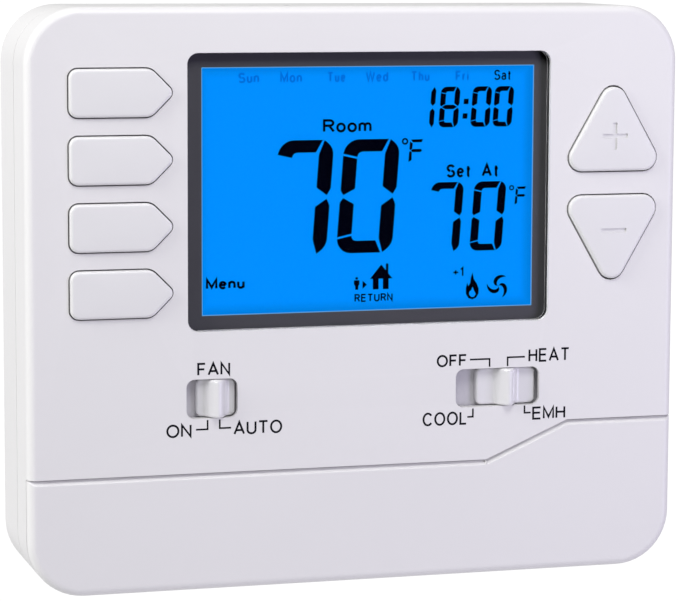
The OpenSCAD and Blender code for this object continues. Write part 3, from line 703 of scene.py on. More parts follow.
def soften(obj, width, segments):
    """Rounds the sharp edges by width in millimetres, and evens the shading."""
    bevel = obj.modifiers.new("Rounded Edges", "BEVEL")
    bevel.width = width * MM
    bevel.segments = segments
    bevel.limit_method = "ANGLE"
    bevel.angle_limit = math.radians(28.0)
    bevel.use_clamp_overlap = True
    bevel.miter_outer = "MITER_ARC"
    bevel.harden_normals = False
    weighted = obj.modifiers.new("Even Shading", "WEIGHTED_NORMAL")
    weighted.keep_sharp = False
    weighted.weight = 80
    obj.data.shade_smooth()
    return apply_modifiers(obj)


def cut(obj, cutter):
    boolean = obj.modifiers.new("Cut", "BOOLEAN")
    boolean.operation = "DIFFERENCE"
    boolean.solver = "EXACT"
    boolean.object = cutter
    apply_modifiers(obj)
    bpy.data.objects.remove(cutter)


def grow(obj, tree, values):
    """Turns an object into what a Geometry Nodes tree makes of it with these inputs, as a plain mesh."""
    modifier = obj.modifiers.new("Grow", "NODES")
    modifier.node_group = tree
    for item in tree.interface.items_tree:
        if item.in_out == "INPUT" and item.name in values:
            modifier[item.identifier] = values[item.name]
    return apply_modifiers(obj)


def finish_piece(obj, material, body, replaces=()):
    obj.data.materials.clear()
    obj.data.materials.append(material)
    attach(obj, body)
    if replaces:
        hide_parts(*replaces)


def stand_for(node_name, obj, material):
    """Finishes a piece that takes one CAD node's place, on its body."""
    finish_piece(obj, material, BODY_OF[node_name], (node_name,))


def stand_in(node_name, name, material, edge, segments=3):
    """A copy that stands for a CAD node, its edges rounded by a width in millimetres."""
    stand_for(node_name, soften(merged_copy(node_name, name), edge, segments), material)


def dress(node_name, material):
    """A better material on a CAD node that stays."""
    NODES[node_name].data.materials.clear()
    NODES[node_name].data.materials.append(material)
    shade(NODES[node_name], 30)


def flat_box(node_name):
    """A node's box seen from the front, in millimetres: middle x and y, width, height, back and front."""
    low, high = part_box(node_name)
    return ((low.x + high.x) / 2 / MM, (low.z + high.z) / 2 / MM, (high.x - low.x) / MM,
            (high.z - low.z) / MM, -high.y / MM, -low.y / MM)


def solid_boxes(node_name):
    """The lowest and highest corners of each separate solid of a CAD node."""
    mesh = bmesh.new()
    mesh.from_mesh(NODES[node_name].data)
    bmesh.ops.remove_doubles(mesh, verts=mesh.verts, dist=MERGE)
    left, found = set(mesh.verts), []
    while left:
        stack, island = [left.pop()], []
        while stack:
            vert = stack.pop()
            island.append(vert.co.copy())
            for edge in vert.link_edges:
                other = edge.other_vert(vert)
                if other in left:
                    left.remove(other)
                    stack.append(other)
        found.append(tuple(Vector([pick(p[k] for p in island) for k in range(3)]) for pick in (min, max)))
    mesh.free()
    return sorted(found, key=lambda pair: tuple(round(c, 5) for c in pair[0]))


# ---------------------------------------------------------------- lettering and digits

# Letters drawn as strokes in a cell of height 1: each is a width and a list of strokes.
# A stroke is a list of points, or for an arc (centre x, centre y, radius x, radius y, start, end) in degrees.
LETTERS = {
    "A": (0.74, [[(0, 0), (0.37, 1), (0.74, 0)], [(0.12, 0.32), (0.62, 0.32)]]),
    "C": (0.72, [(0.38, 0.5, 0.38, 0.5, 38, 322)]),
    "E": (0.58, [[(0.58, 1), (0, 1), (0, 0), (0.58, 0)], [(0, 0.53), (0.54, 0.53)]]),
    "F": (0.54, [[(0.54, 1), (0, 1), (0, 0)], [(0, 0.51), (0.48, 0.51)]]),
    "H": (0.62, [[(0, 0), (0, 1)], [(0.62, 0), (0.62, 1)], [(0, 0.53), (0.62, 0.53)]]),
    "L": (0.5, [[(0, 1), (0, 0), (0.5, 0)]]),
    "M": (0.74, [[(0, 0), (0, 1), (0.37, 0.12), (0.74, 1), (0.74, 0)]]),
    "N": (0.62, [[(0, 0), (0, 1), (0.62, 0), (0.62, 1)]]),
    "O": (0.8, [(0.4, 0.5, 0.4, 0.5, 0, 360)]),
    "R": (0.62, [[(0, 0), (0, 1), (0.36, 1)], (0.36, 0.76, 0.24, 0.24, 90, -90), [(0.36, 0.52), (0, 0.52)],
                 [(0.34, 0.5), (0.64, 0)]]),
    "S": (0.6, [(0.3, 0.75, 0.28, 0.25, 22, 262), (0.3, 0.26, 0.30, 0.26, 82, -158)]),
    "T": (0.66, [[(0, 1), (0.66, 1)], [(0.33, 1), (0.33, 0)]]),
    "U": (0.62, [[(0, 1), (0, 0.31)], (0.31, 0.31, 0.31, 0.31, 180, 360), [(0.62, 0.31), (0.62, 1)]]),
    "W": (0.98, [[(0, 1), (0.24, 0), (0.49, 1), (0.74, 0), (0.98, 1)]]),
    "a": (0.44, [(0.22, 0.46, 0.20, 0.22, 160, 0), [(0.42, 0.46), (0.42, 0.0)],
                 (0.21, 0.19, 0.21, 0.19, 30, 330), [(0.21, 0.4), (0.42, 0.42)]]),
    "d": (0.46, [[(0.46, 1), (0.46, 0)], (0.23, 0.34, 0.23, 0.34, 0, 360)]),
    "e": (0.46, [[(0, 0.36), (0.46, 0.36)], (0.23, 0.34, 0.23, 0.34, 4, 320)]),
    "h": (0.42, [[(0, 0), (0, 1)], (0.21, 0.42, 0.21, 0.26, 180, 0), [(0.42, 0.42), (0.42, 0)]]),
    "i": (0.02, [[(0, 0), (0, 0.68)], [(0, 0.9), (0, 1)]]),
    "m": (0.72, [[(0, 0), (0, 0.68)], (0.18, 0.44, 0.18, 0.24, 180, 0), [(0.36, 0.44), (0.36, 0)],
                 (0.54, 0.44, 0.18, 0.24, 180, 0), [(0.72, 0.44), (0.72, 0)]]),
    "n": (0.42, [[(0, 0), (0, 0.68)], (0.21, 0.42, 0.21, 0.26, 180, 0), [(0.42, 0.42), (0.42, 0)]]),
    "o": (0.48, [(0.24, 0.34, 0.24, 0.34, 0, 360)]),
    "r": (0.24, [[(0, 0), (0, 0.68)], (0.22, 0.42, 0.22, 0.26, 180, 80)]),
    "t": (0.3, [[(0.13, 0.92), (0.13, 0.1)], (0.24, 0.12, 0.11, 0.12, 180, 275), [(0, 0.66), (0.3, 0.66)]]),
    "u": (0.42, [[(0, 0.68), (0, 0.26)], (0.21, 0.26, 0.21, 0.26, 180, 360), [(0.42, 0.68), (0.42, 0)]]),
    "1": (0.24, [[(0, 0.78), (0.24, 1), (0.24, 0)]]),
    "+": (0.5, [[(0, 0.42), (0.5, 0.42)], [(0.25, 0.17), (0.25, 0.67)]]),
}


def stroke_points(stroke):
    if isinstance(stroke, list):
        return stroke
    x, y, rx, ry, start, end = stroke
    steps = max(4, round(abs(end - start) / 18))
    angles = [math.radians(start + (end - start) * i / steps) for i in range(steps + 1)]
    return [(x + rx * math.cos(a), y + ry * math.sin(a)) for a in angles]


MITRE_LIMIT = 0.38       # least cosine at a corner, which keeps sharp corners short


def ribbon(points, width, closed):
    """The left and right edges of a strip of constant width along a path, with mitred corners."""
    half, count, pairs = width / 2, len(points), []
    for i, here in enumerate(points):
        before = points[i - 1] if i or closed else None
        after = points[(i + 1) % count] if i < count - 1 or closed else None
        ways = [Vector((b[0] - a[0], b[1] - a[1])).normalized() for a, b in ((before, here), (here, after))
                if a and b]
        sides = [Vector((-way.y, way.x)) for way in ways]
        side = sum(sides, Vector((0, 0))).normalized()
        reach = half / max(MITRE_LIMIT, side.dot(sides[0]))
        pairs.append(((here[0] + side.x * reach, here[1] + side.y * reach),
                      (here[0] - side.x * reach, here[1] - side.y * reach)))
    return pairs


def lettering(name, words, depth, width):
    """Words as one thin mesh. Each entry is text and its box: left, right, bottom and top in millimetres."""
    mesh = bmesh.new()
    for text, left, right, bottom, top in words:
        high = top - bottom - width
        gap = width * 1.1 + high * 0.12
        natural = sum(LETTERS[c][0] for c in text)
        wide = (right - left - width - gap * (len(text) - 1)) / (natural * high)
        pen = left + width / 2
        for letter in text:
            run, strokes = LETTERS[letter]
            for stroke in strokes:
                points = [(pen + x * high * wide, bottom + width / 2 + y * high)
                          for x, y in stroke_points(stroke)]
                closed = math.dist(points[0], points[-1]) < 1e-6
                if closed:
                    points.pop()
                add_ribbon(mesh, ribbon(points, width, closed), closed, depth)
            pen += run * high * wide + gap
    return built(name, mesh)


def add_ribbon(mesh, pairs, closed, depth):
    front = depth + sizes().ink
    rows = [add_outline(mesh, [(*left, depth), (*left, front), (*right, front), (*right, depth)])
            for left, right in pairs]
    for a, b in zip(rows, rows[1:] + rows[:1] if closed else rows[1:]):
        for k in range(4):
            n = (k + 1) % 4
            mesh.faces.new((a[k], a[n], b[n], b[k]))
    if not closed:
        mesh.faces.new(list(reversed(rows[0])))
        mesh.faces.new(rows[-1])


def segment_shapes(w, h, tx, ty, gap):
    """The seven segments of a digit of width w and height h, the lower half a mirror of the upper.

    tx and ty are the thicknesses of the upright and level segments, and gap is the space between them.
    """
    r, q, m = 1.25 * ty, 0.35 * tx, h / 2
    top = ([(0, h - 1.15 * ty)] + arc(r, h - r, r, 170, 90, 5) + [(w - 0.80 * tx, h), (w - 1.22 * tx, h - ty)]
           + arc(tx + q, h - ty - q, q, 90, 180, 4))
    right = ([(w - tx, h - 1.18 * ty), (w - 0.80 * tx + gap, h - 0.02 * ty)] + arc(w - r, h - r, r, 52, 0, 4)
             + [(w, m + 0.70 * ty), (w - 0.24 * tx, m + 0.14 * ty), (w - tx, m + 0.78 * ty)])
    left = [(0, h - 1.15 * ty - gap), (0, m + 0.5 * ty), (0.22 * tx, m + 0.12 * ty), (tx, m + 0.62 * ty),
            (tx, h - ty - q - gap)]
    middle = [(0.38 * tx, m), (tx * 1.05, m + 0.46 * ty), (w - tx * 1.05, m + 0.46 * ty), (w - 0.42 * tx, m),
              (w - tx * 1.05, m - 0.46 * ty), (tx * 1.05, m - 0.46 * ty)]

    def below(shape):
        return [(x, h - y) for x, y in shape]
    return {"a": top, "b": right, "c": below(right), "d": below(top), "e": below(left), "f": left,
            "g": middle}


DIGITS = {"0": "abcdef", "7": "abc", "8": "abcdefg"}


def leaning(shape, x, y):
    lean = sizes().slant
    return [(x + px + lean * py, y + py) for px, py in shape]


def digit_shapes(text, x, y, w, h, tx, ty, gap):
    shapes = segment_shapes(w, h, tx, ty, gap)
    return [leaning(shapes[key], x, y) for key in DIGITS[text]]


def one_shapes(x, y, h, t):
    """A figure one: two bars with pointed ends."""
    m, p = h / 2, 0.55 * t
    bar = [(t / 2, m + 0.25 * t), (t, m + 0.25 * t + p), (t, h - 1.4 * p), (t * 0.6, h), (0, h - 1.8 * p),
           (0, m + 0.25 * t + p)]
    return [leaning(bar, x, y), leaning([(px, h - py) for px, py in bar], x, y)]


def letter_f_shapes(x, y, w, h, t):
    """A segment-style letter F."""
    m = h / 2
    bars = [
        [(0.3 * t, h - 0.1 * t), (w, h), (w - 0.35 * t, h - t), (t, h - t)],
        [(0, h - 0.7 * t), (t, h - 1.35 * t), (t * 0.9, m + 0.5 * t), (0.3 * t, m + 0.15 * t),
         (0, m + 0.5 * t)],
        [(0.5 * t, m), (1.1 * t, m + 0.5 * t), (w - 0.5 * t, m + 0.5 * t), (w, m),
         (w - 0.5 * t, m - 0.5 * t), (1.1 * t, m - 0.5 * t)],
        [(0, m - 0.5 * t), (0.3 * t, m - 0.15 * t), (t * 0.9, m - 0.5 * t), (t, 0.6 * t), (0, 0)],
    ]
    return [leaning(bar, x, y) for bar in bars]


def circle(x, y, radius, steps=24):
    return arc(x, y, radius, 0, 360, steps)[:-1]


# ---------------------------------------------------------------- operators

class THERMOSTAT_OT_shells(bpy.types.Operator):
    """Front case, battery door, rear case and wall plate"""
    bl_idname = "thermostat.shells"
    bl_label = "Case Shells"

    def execute(self, context):
        s = sizes()
        stand_in("front_case", "front_shell", case_plastic(), s.shell_edge)
        stand_in("battery_door", "battery_door_panel", case_plastic(), s.door_edge)
        stand_in("rear_case", "rear_shell", case_plastic(), edge=0.2, segments=2)
        stand_in("wall_plate", "wall_plate_tray", case_plastic(), s.plate_edge, segments=4)
        return {"FINISHED"}


class THERMOSTAT_OT_keys(bpy.types.Operator):
    """Arrow-shaped side keys and triangular plus and minus keys"""
    bl_idname = "thermostat.keys"
    bl_label = "Keys"

    FOOT_HEIGHT, FOOT_RADIUS = 0.4, 2.2      # the foot behind the flange, which meets the switch
    FLANGE = 1.2                             # thickness of the flange
    SWITCH_SHARE = 0.45                      # how far along a side key its switch lies
    EDGE_STEPS = 6
    DOME_SHARES = (0.97, 0.9, 0.75, 0.5, 0.25)
    SIGN_CORNER = 0.12
    PLUS_OFFSET, MINUS_OFFSET = (0.15, 0.45), (0.15, -0.55)      # the signs' centres, from the keys' own

    def key(self, node_name, name, outline, x, y, stem):
        """A crowned key: flange, straight side, rounded front edge and a slight dome."""
        s = sizes()
        back, top = flat_box(node_name)[4:]
        flange_back = back + self.FOOT_HEIGHT
        flange_front = flange_back + self.FLANGE
        rings = [at(outline(s.key_flange), x, y, flange_back), at(outline(s.key_flange), x, y, flange_front),
                 at(outline(0.0), x, y, flange_front)]
        rim = top - s.key_crown
        for i in range(self.EDGE_STEPS + 1):
            a = math.radians(90 * i / self.EDGE_STEPS)
            rings.append(at(outline(-s.key_edge * (1 - math.cos(a))), x, y,
                            rim - s.key_edge * (1 - math.sin(a))))
        edge_ring = rings[-1]
        mx, my = middle_of(edge_ring)
        for share in self.DOME_SHARES:
            depth = rim + s.key_crown * (1 - share ** 2)
            rings.append([(mx + (p[0] - mx) * share, my + (p[1] - my) * share, depth) for p in edge_ring])
        foot = circle(*stem, self.FOOT_RADIUS)
        return join([loft(name, rings, crown=top),
                     loft("foot", [at(foot, 0, 0, back), at(foot, 0, 0, flange_back)])])

    def engrave(self, obj, x, y, top, strokes):
        """Cuts the strokes of a sign into a key."""
        for width, height in strokes:
            outline = rounded_rect(width, height, self.SIGN_CORNER, steps=3)
            cut(obj, prism("cutter", [[(px + x, py + y) for px, py in outline]],
                           top - sizes().sign_depth, top + 1.0))

    def finish_key(self, obj, node_name):
        shade(obj, 40)
        stand_for(node_name, obj, key_plastic())

    def execute(self, context):
        s = sizes()
        for node_name in sorted(n for n in NODES if n.startswith("soft_key_")):
            width, height = (size - 2 * s.key_flange for size in flat_box(node_name)[2:4])
            x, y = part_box(node_name)[0].x / MM + s.key_flange, flat_box(node_name)[1]
            obj = self.key(node_name, node_name.replace("soft", "side"),
                           lambda grow: arrow(width, height, grow), x, y, (x + width * self.SWITCH_SHARE, y))
            self.finish_key(obj, node_name)
        for node_name, turn, offset in (("plus_key", 0.0, self.PLUS_OFFSET),
                                        ("minus_key", 180.0, self.MINUS_OFFSET)):
            low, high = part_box(node_name)
            x, _, full_width, _, _, top = flat_box(node_name)
            width = full_width - 2 * s.key_flange
            reach = (width - 2 * s.triangle_corner) / math.sqrt(3)
            inward = s.key_flange + s.triangle_corner + reach / 2
            y = high.z / MM - inward if turn else low.z / MM + inward
            obj = self.key(node_name, node_name + "_cap", lambda grow: triangle(width, grow, turn), x, y,
                           (x, y))
            strokes = [(s.sign_length, s.sign_width)]
            if node_name == "plus_key":
                strokes.append((s.sign_width, s.sign_length))
            self.engrave(obj, x + offset[0], y + offset[1], top, strokes)
            self.finish_key(obj, node_name)
        for node_name in [n for n in NODES if n.startswith("plunger_")]:
            stand_in(node_name, node_name + "_pin", dark_plastic(), edge=0.2)
        return {"FINISHED"}


class THERMOSTAT_OT_knobs(bpy.types.Operator):
    """Slide knobs: a plate with round corners and a rib that swells out of it, on a shutter"""
    bl_idname = "thermostat.knobs"
    bl_label = "Slide Knobs"

    COLUMNS, ROWS = 44, 22                   # faces along and across a knob
    SHUTTER, SHUTTER_CORNER = 0.8, 0.5       # the shutter's thickness and corner radius
    OVERLAP = 0.01                           # how far the knob's walls reach into the shutter
    SLOT_SPARE = 1.5                         # how much lower the knob is than its shutter
    RIB_SKIRT, RIB_FALL = 1.35, 2.4          # spread of the rib's foot, and how steeply it falls
    GATHERED = 0.65                          # how strongly the faces gather at a knob's edges

    def cap(self, name, x, y, length, height, plate, foot):
        s = sizes()
        corner, edge = s.knob_corner, s.knob_edge

        def level(px):
            """Height of the plate and rib along the knob: a rounded rib that runs out into the plate."""
            d = min(1.0, abs(px) / (s.rib_width / 2 * self.RIB_SKIRT))
            return plate + s.knob_rise * (1 - d * d) ** self.RIB_FALL

        def reach(px):
            """Half the plate's height along the knob: less at its round corners."""
            inset = max(0.0, corner - (length / 2 - abs(px)))
            return height / 2 - corner + math.sqrt(max(0.0, corner ** 2 - inset ** 2))

        def rounded(distance):
            """How far the front drops at this distance from the plate's outline."""
            d = min(1.0, max(0.0, distance / edge))
            return edge * (math.sqrt(max(0.0, 1 - (1 - d) ** 2)) - 1)

        def spread(i, count):
            """Even in the middle and dense at the ends, from -1 to 1."""
            t = -1 + 2 * i / count
            return math.sin(t * math.pi / 2) * self.GATHERED + t * (1 - self.GATHERED)

        mesh = bmesh.new()
        grid = []
        for i in range(self.COLUMNS + 1):
            px = spread(i, self.COLUMNS) * length / 2
            row = []
            for j in range(self.ROWS + 1):
                py = spread(j, self.ROWS) * reach(px)
                side = min(reach(px) - abs(py), length / 2 - abs(px))
                row.append((x + px, y + py, level(px) + rounded(side)))
            grid.append(add_outline(mesh, row))
        for here, after in zip(grid, grid[1:]):
            for j in range(self.ROWS):
                mesh.faces.new((here[j], after[j], after[j + 1], here[j + 1]))
        rim = ([column[0] for column in grid] + grid[-1][1:] + [column[-1] for column in grid[-2::-1]]
               + grid[0][-2:0:-1])
        lower = [mesh.verts.new((vert.co.x, -foot * MM, vert.co.z)) for vert in rim]
        add_wall(mesh, rim, lower)
        mesh.faces.new(lower)
        return built(name, mesh)

    def execute(self, context):
        s = sizes()
        for node_name, length in (("fan_knob", s.fan_plate), ("system_knob", s.system_plate)):
            middle, y, shutter_length, shutter_height, back, top = flat_box(node_name)
            x = flat_box(node_name.replace("knob", "slider"))[0]
            front = back + self.SHUTTER
            cap = self.cap(node_name + "_cap", x, y, length, shutter_height - self.SLOT_SPARE,
                           top - s.knob_rise, front - self.OVERLAP)
            outline = rounded_rect(shutter_length, shutter_height, self.SHUTTER_CORNER, steps=3)
            obj = join([cap, prism("plate", [[(px + middle, py + y) for px, py in outline]], back, front)])
            shade(obj, 60)
            stand_for(node_name, obj, knob_plastic())
            # The shutter's faces take the grey of the painted shade in the slot.
            obj.data.materials.append(shutter_painted_shade())
            for face in obj.data.polygons:
                if -face.center.y / MM < front + 2 * self.OVERLAP:
                    face.material_index = 1
        for node_name in ("fan_slider", "system_slider"):
            stand_in(node_name, node_name + "_post", dark_plastic(), edge=0.12)
        return {"FINISHED"}


class THERMOSTAT_OT_display(bpy.types.Operator):
    """Window, printed border, display glass and what holds and lights it"""
    bl_idname = "thermostat.display"
    bl_label = "Display"

    EDGE_STEPS = 4
    MASK_SPARE = 0.05                        # how far the border stays inside the window's outline
    VIEW_CORNER = 0.15
    RIM_WIDTH, RIM_BACK, RIM_FRONT = 0.15, 0.02, 0.12    # the painted highlight strip at the opening's edge: its width, and its depths from the border's back

    def execute(self, context):
        s = sizes()
        x, y, w, h, back, front = flat_box("display_window")
        rings = [at(rounded_rect(w, h, s.window_corner), x, y, back)]
        for i in range(self.EDGE_STEPS + 1):
            a = math.radians(90 * i / self.EDGE_STEPS)
            rings.append(at(rounded_rect(w, h, s.window_corner, -s.window_edge * (1 - math.cos(a))), x, y,
                            front - s.window_edge * (1 - math.sin(a))))
        window = loft("window_lens", rings)
        shade(window, 50)
        finish_piece(window, clear_window(), "head", ("display_window",))

        middle = x + s.border_shift
        view_w, view_h = w - 2 * (s.border + s.border_shift), h - 2 * s.border
        spare, highlight_w = 2 * self.MASK_SPARE, 2 * self.RIM_WIDTH
        outer = [(px + x, py + y) for px, py in rounded_rect(w - spare, h - spare, s.window_corner)]
        inner, lit = ([(px + middle, py + y) for px, py in rounded_rect(*size)]
                      for size in ((view_w, view_h, self.VIEW_CORNER), (view_w - highlight_w, view_h - highlight_w, 0.1)))
        mask_back, mask_front = flat_box("window_mask")[4:]
        mask = ring_plate("window_border", outer, inner, mask_back, mask_front)
        finish_piece(mask, printed_border(), "head", ("window_mask",))
        # A thin glowing strip round the opening: a painted highlight on the opening's edge.
        rim = ring_plate("screen_rim", inner, lit, mask_back + self.RIM_BACK, mask_back + self.RIM_FRONT)
        finish_piece(rim, glowing("screen_rim_painted_highlight", colours().rim), "head")

        screen = glowing("screen_light", colours().screen, edge_shade=0.5)
        stand_in("lcd_panel", "display_glass", screen, edge=0.1, segments=2)
        stand_in("lcd_frame", "display_frame", natural_plastic(), edge=0.25)
        stand_in("backlight_guide", "light_guide", frosted_acrylic(), edge=0.2)
        stand_in("backlight_leds", "light_sources", led_body(), edge=0.12)
        stand_in("zebra_strip", "contact_strip", rubber(), edge=0.2)
        return {"FINISHED"}


class THERMOSTAT_OT_screen_marks(bpy.types.Operator):
    """Digits, words and signs on the display"""
    bl_idname = "thermostat.screen_marks"
    bl_label = "Display Marks"

    LIFT = 0.015                             # how far the marks stand off the display's glass
    HEAVY, LIGHT, FAINT = 0.44, 0.27, 0.34   # widths of the words' strokes

    def execute(self, context):
        depth = SCREEN + self.LIFT
        ink = sizes().ink
        days = [("Sun", -21.6, -17.8), ("Mon", -14.0, -10.0), ("Tue", -5.4, -2.0), ("Wed", 1.7, 5.9),
                ("Thu", 10.1, 13.6), ("Fri", 18.5, 21.0)]
        faint = lettering("faint_days", [(t, a, b, 38.0, 39.85) for t, a, b in days], depth, self.FAINT)
        finish_piece(faint, glowing("faint_segments", colours().faint), "head")

        large = [("Room", -6.15, 2.85, 29.1, 31.5), ("Set", 16.9, 21.6, 20.7, 23.1),
                 ("At", 23.6, 26.9, 20.7, 23.1), ("Menu", -27.5, -20.45, 1.75, 3.75)]
        small = [("Sat", 25.8, 29.05, 38.1, 39.95), ("RETURN", -0.2, 6.95, -1.28, 0.18),
                 ("+", 18.2, 19.45, 2.75, 4.6), ("1", 19.65, 20.3, 2.75, 4.5)]
        text = join([lettering("screen_words", large, depth, self.HEAVY),
                     lettering("small", small, depth, self.LIGHT)])
        finish_piece(text, screen_ink(), "head")

        shapes = self.digits() + self.signs()
        degrees = [ring_plate("ring", circle(x, y, r), circle(x, y, r * 0.5), depth, depth + ink)
                   for x, y, r in ((9.1, 27.35, 0.6), (29.35, 18.65, 0.48))]
        marks = prism("screen_segments", shapes, depth, depth + ink)
        finish_piece(join([marks] + degrees), screen_ink(), "head")
        return {"FINISHED"}

    def digits(self):
        """Room temperature, set temperature, clock, and the letter F of both temperatures."""
        shapes = []
        for digit, x, w in (("7", -15.75, 10.2), ("0", -3.7, 10.4)):
            shapes += digit_shapes(digit, x, 7.55, w, 20.3, 2.65, 2.2, 0.35)
        for digit, x in (("7", 13.25), ("0", 21.35)):
            shapes += digit_shapes(digit, x, 7.4, 6.1, 12.5, 1.5, 1.2, 0.2)
        clock_y, clock_h, dot = 29.75, 7.25, (0.9, 0.95)
        for digit, x in (("8", 15.3), ("0", 21.3), ("0", 25.5)):
            shapes += digit_shapes(digit, x, clock_y, 3.65, clock_h, 1.0, 0.85, 0.12)
        shapes += one_shapes(13.5, clock_y, clock_h, 0.9)
        for y in (1.5, 4.1):
            colon = [(0, y), (dot[0], y), (dot[0], y + dot[1]), (0, y + dot[1])]
            shapes.append(leaning(colon, 19.75, clock_y))
        shapes += letter_f_shapes(9.75, 23.65, 2.4, 4.05, 0.55)
        shapes += letter_f_shapes(29.95, 15.6, 1.9, 3.25, 0.45)
        return shapes

    def signs(self):
        """Person, arrow, house, flame and fan."""
        shapes = [circle(0.2, 3.0, 0.24, 14),
                  [(-0.3, 2.65), (0.7, 2.65), (0.72, 1.95), (0.5, 1.62), (0.48, 0.95), (-0.06, 0.95),
                   (-0.08, 1.62), (-0.32, 1.95)],
                  [(1.3, 2.55), (2.1, 1.82), (1.3, 1.08)]]
        house = [(0.54, 0), (1.62, 0), (1.62, 1.9), (2.42, 1.9), (2.42, 0), (3.5, 0), (3.5, 1.9), (4.2, 1.9),
                 (3.42, 2.85), (3.42, 4.6), (2.98, 4.6), (2.98, 3.4), (2.08, 4.45), (0, 1.9), (0.54, 1.9)]
        shapes.append([(2.68 + x, 0.92 + y) for x, y in house])
        flame = [(1.34, 4.9), (1.6, 3.7), (2.2, 2.8), (2.55, 1.9), (2.5, 1.0), (2.05, 0.3), (1.35, 0.0),
                 (0.6, 0.25), (0.12, 1.0), (0.1, 2.1), (0.36, 3.1), (0.55, 2.4), (0.9, 3.0), (1.05, 4.0)]
        hole = [(1.34, 2.3), (1.14, 1.7), (0.76, 1.4), (0.72, 0.9), (1.1, 0.45), (1.65, 0.45), (2.0, 0.95),
                (1.68, 1.55)]
        ringed = flame + [flame[0]] + hole + [hole[0]]
        shapes.append([(20.7 + x, -1.45 + y) for x, y in ringed])
        return shapes + [self.blade(27.0, 0.85, turn) for turn in (0, 120, 240)]

    def blade(self, x, y, turn, steps=10):
        """One curved blade of the fan: a strip along a spiral, thick in the middle."""
        left, right = [], []
        for i in range(steps + 1):
            t = i / steps
            a, r = math.radians(turn + 168 - 118 * t), 0.3 + 1.9 * t
            half = 0.46 * math.sin(math.pi * (0.22 + 0.77 * t)) ** 0.8
            left.append((x + (r + half) * math.cos(a), y + (r + half) * math.sin(a)))
            right.append((x + (r - half) * math.cos(a), y + (r - half) * math.sin(a)))
        return left + right[::-1]


class THERMOSTAT_OT_labels(bpy.types.Operator):
    """Printed words and leader lines round the slide switches"""
    bl_idname = "thermostat.labels"
    bl_label = "Printed Labels"

    SINK = 0.005                             # how far the print reaches into the face
    STROKE = 0.36                            # width of the letters' strokes

    def execute(self, context):
        depth = FACE - self.SINK
        words = [("FAN", -29.85, -23.9, -13.1, -10.75), ("ON", -35.45, -30.9, -23.9, -21.5),
                 ("AUTO", -23.3, -14.4, -23.85, -21.4), ("OFF", 14.35, 20.1, -13.2, -10.95),
                 ("HEAT", 31.85, 39.8, -12.9, -10.4), ("COOL", 11.75, 20.2, -23.85, -21.35),
                 ("EMH", 32.7, 39.1, -23.5, -21.1)]
        text = lettering("printed_words", words, depth, self.STROKE)
        lines = [[(-28.0, -21.1), (-28.0, -22.6), (-29.95, -22.6)],
                 [(-25.8, -21.1), (-25.8, -22.5), (-23.9, -22.5)],
                 [(20.8, -12.0), (24.4, -12.0), (24.4, -13.3)],
                 [(31.0, -11.85), (27.85, -11.85), (27.85, -13.3)],
                 [(21.3, -21.1), (21.3, -22.45), (20.4, -22.45)],
                 [(31.2, -20.95), (31.2, -22.15), (32.25, -22.15)]]
        shapes = [shape for line in lines for shape in self.strokes(line)]
        marks = prism("printed_lines", shapes, depth, depth + sizes().ink)
        finish_piece(join([text, marks]), ink(), "head")
        return {"FINISHED"}

    def strokes(self, points):
        half = sizes().line / 2
        made = []
        for (x0, y0), (x1, y1) in zip(points, points[1:]):
            left, right = min(x0, x1) - half, max(x0, x1) + half
            low, high = min(y0, y1) - half, max(y0, y1) + half
            made.append([(left, low), (right, low), (right, high), (left, high)])
        return made


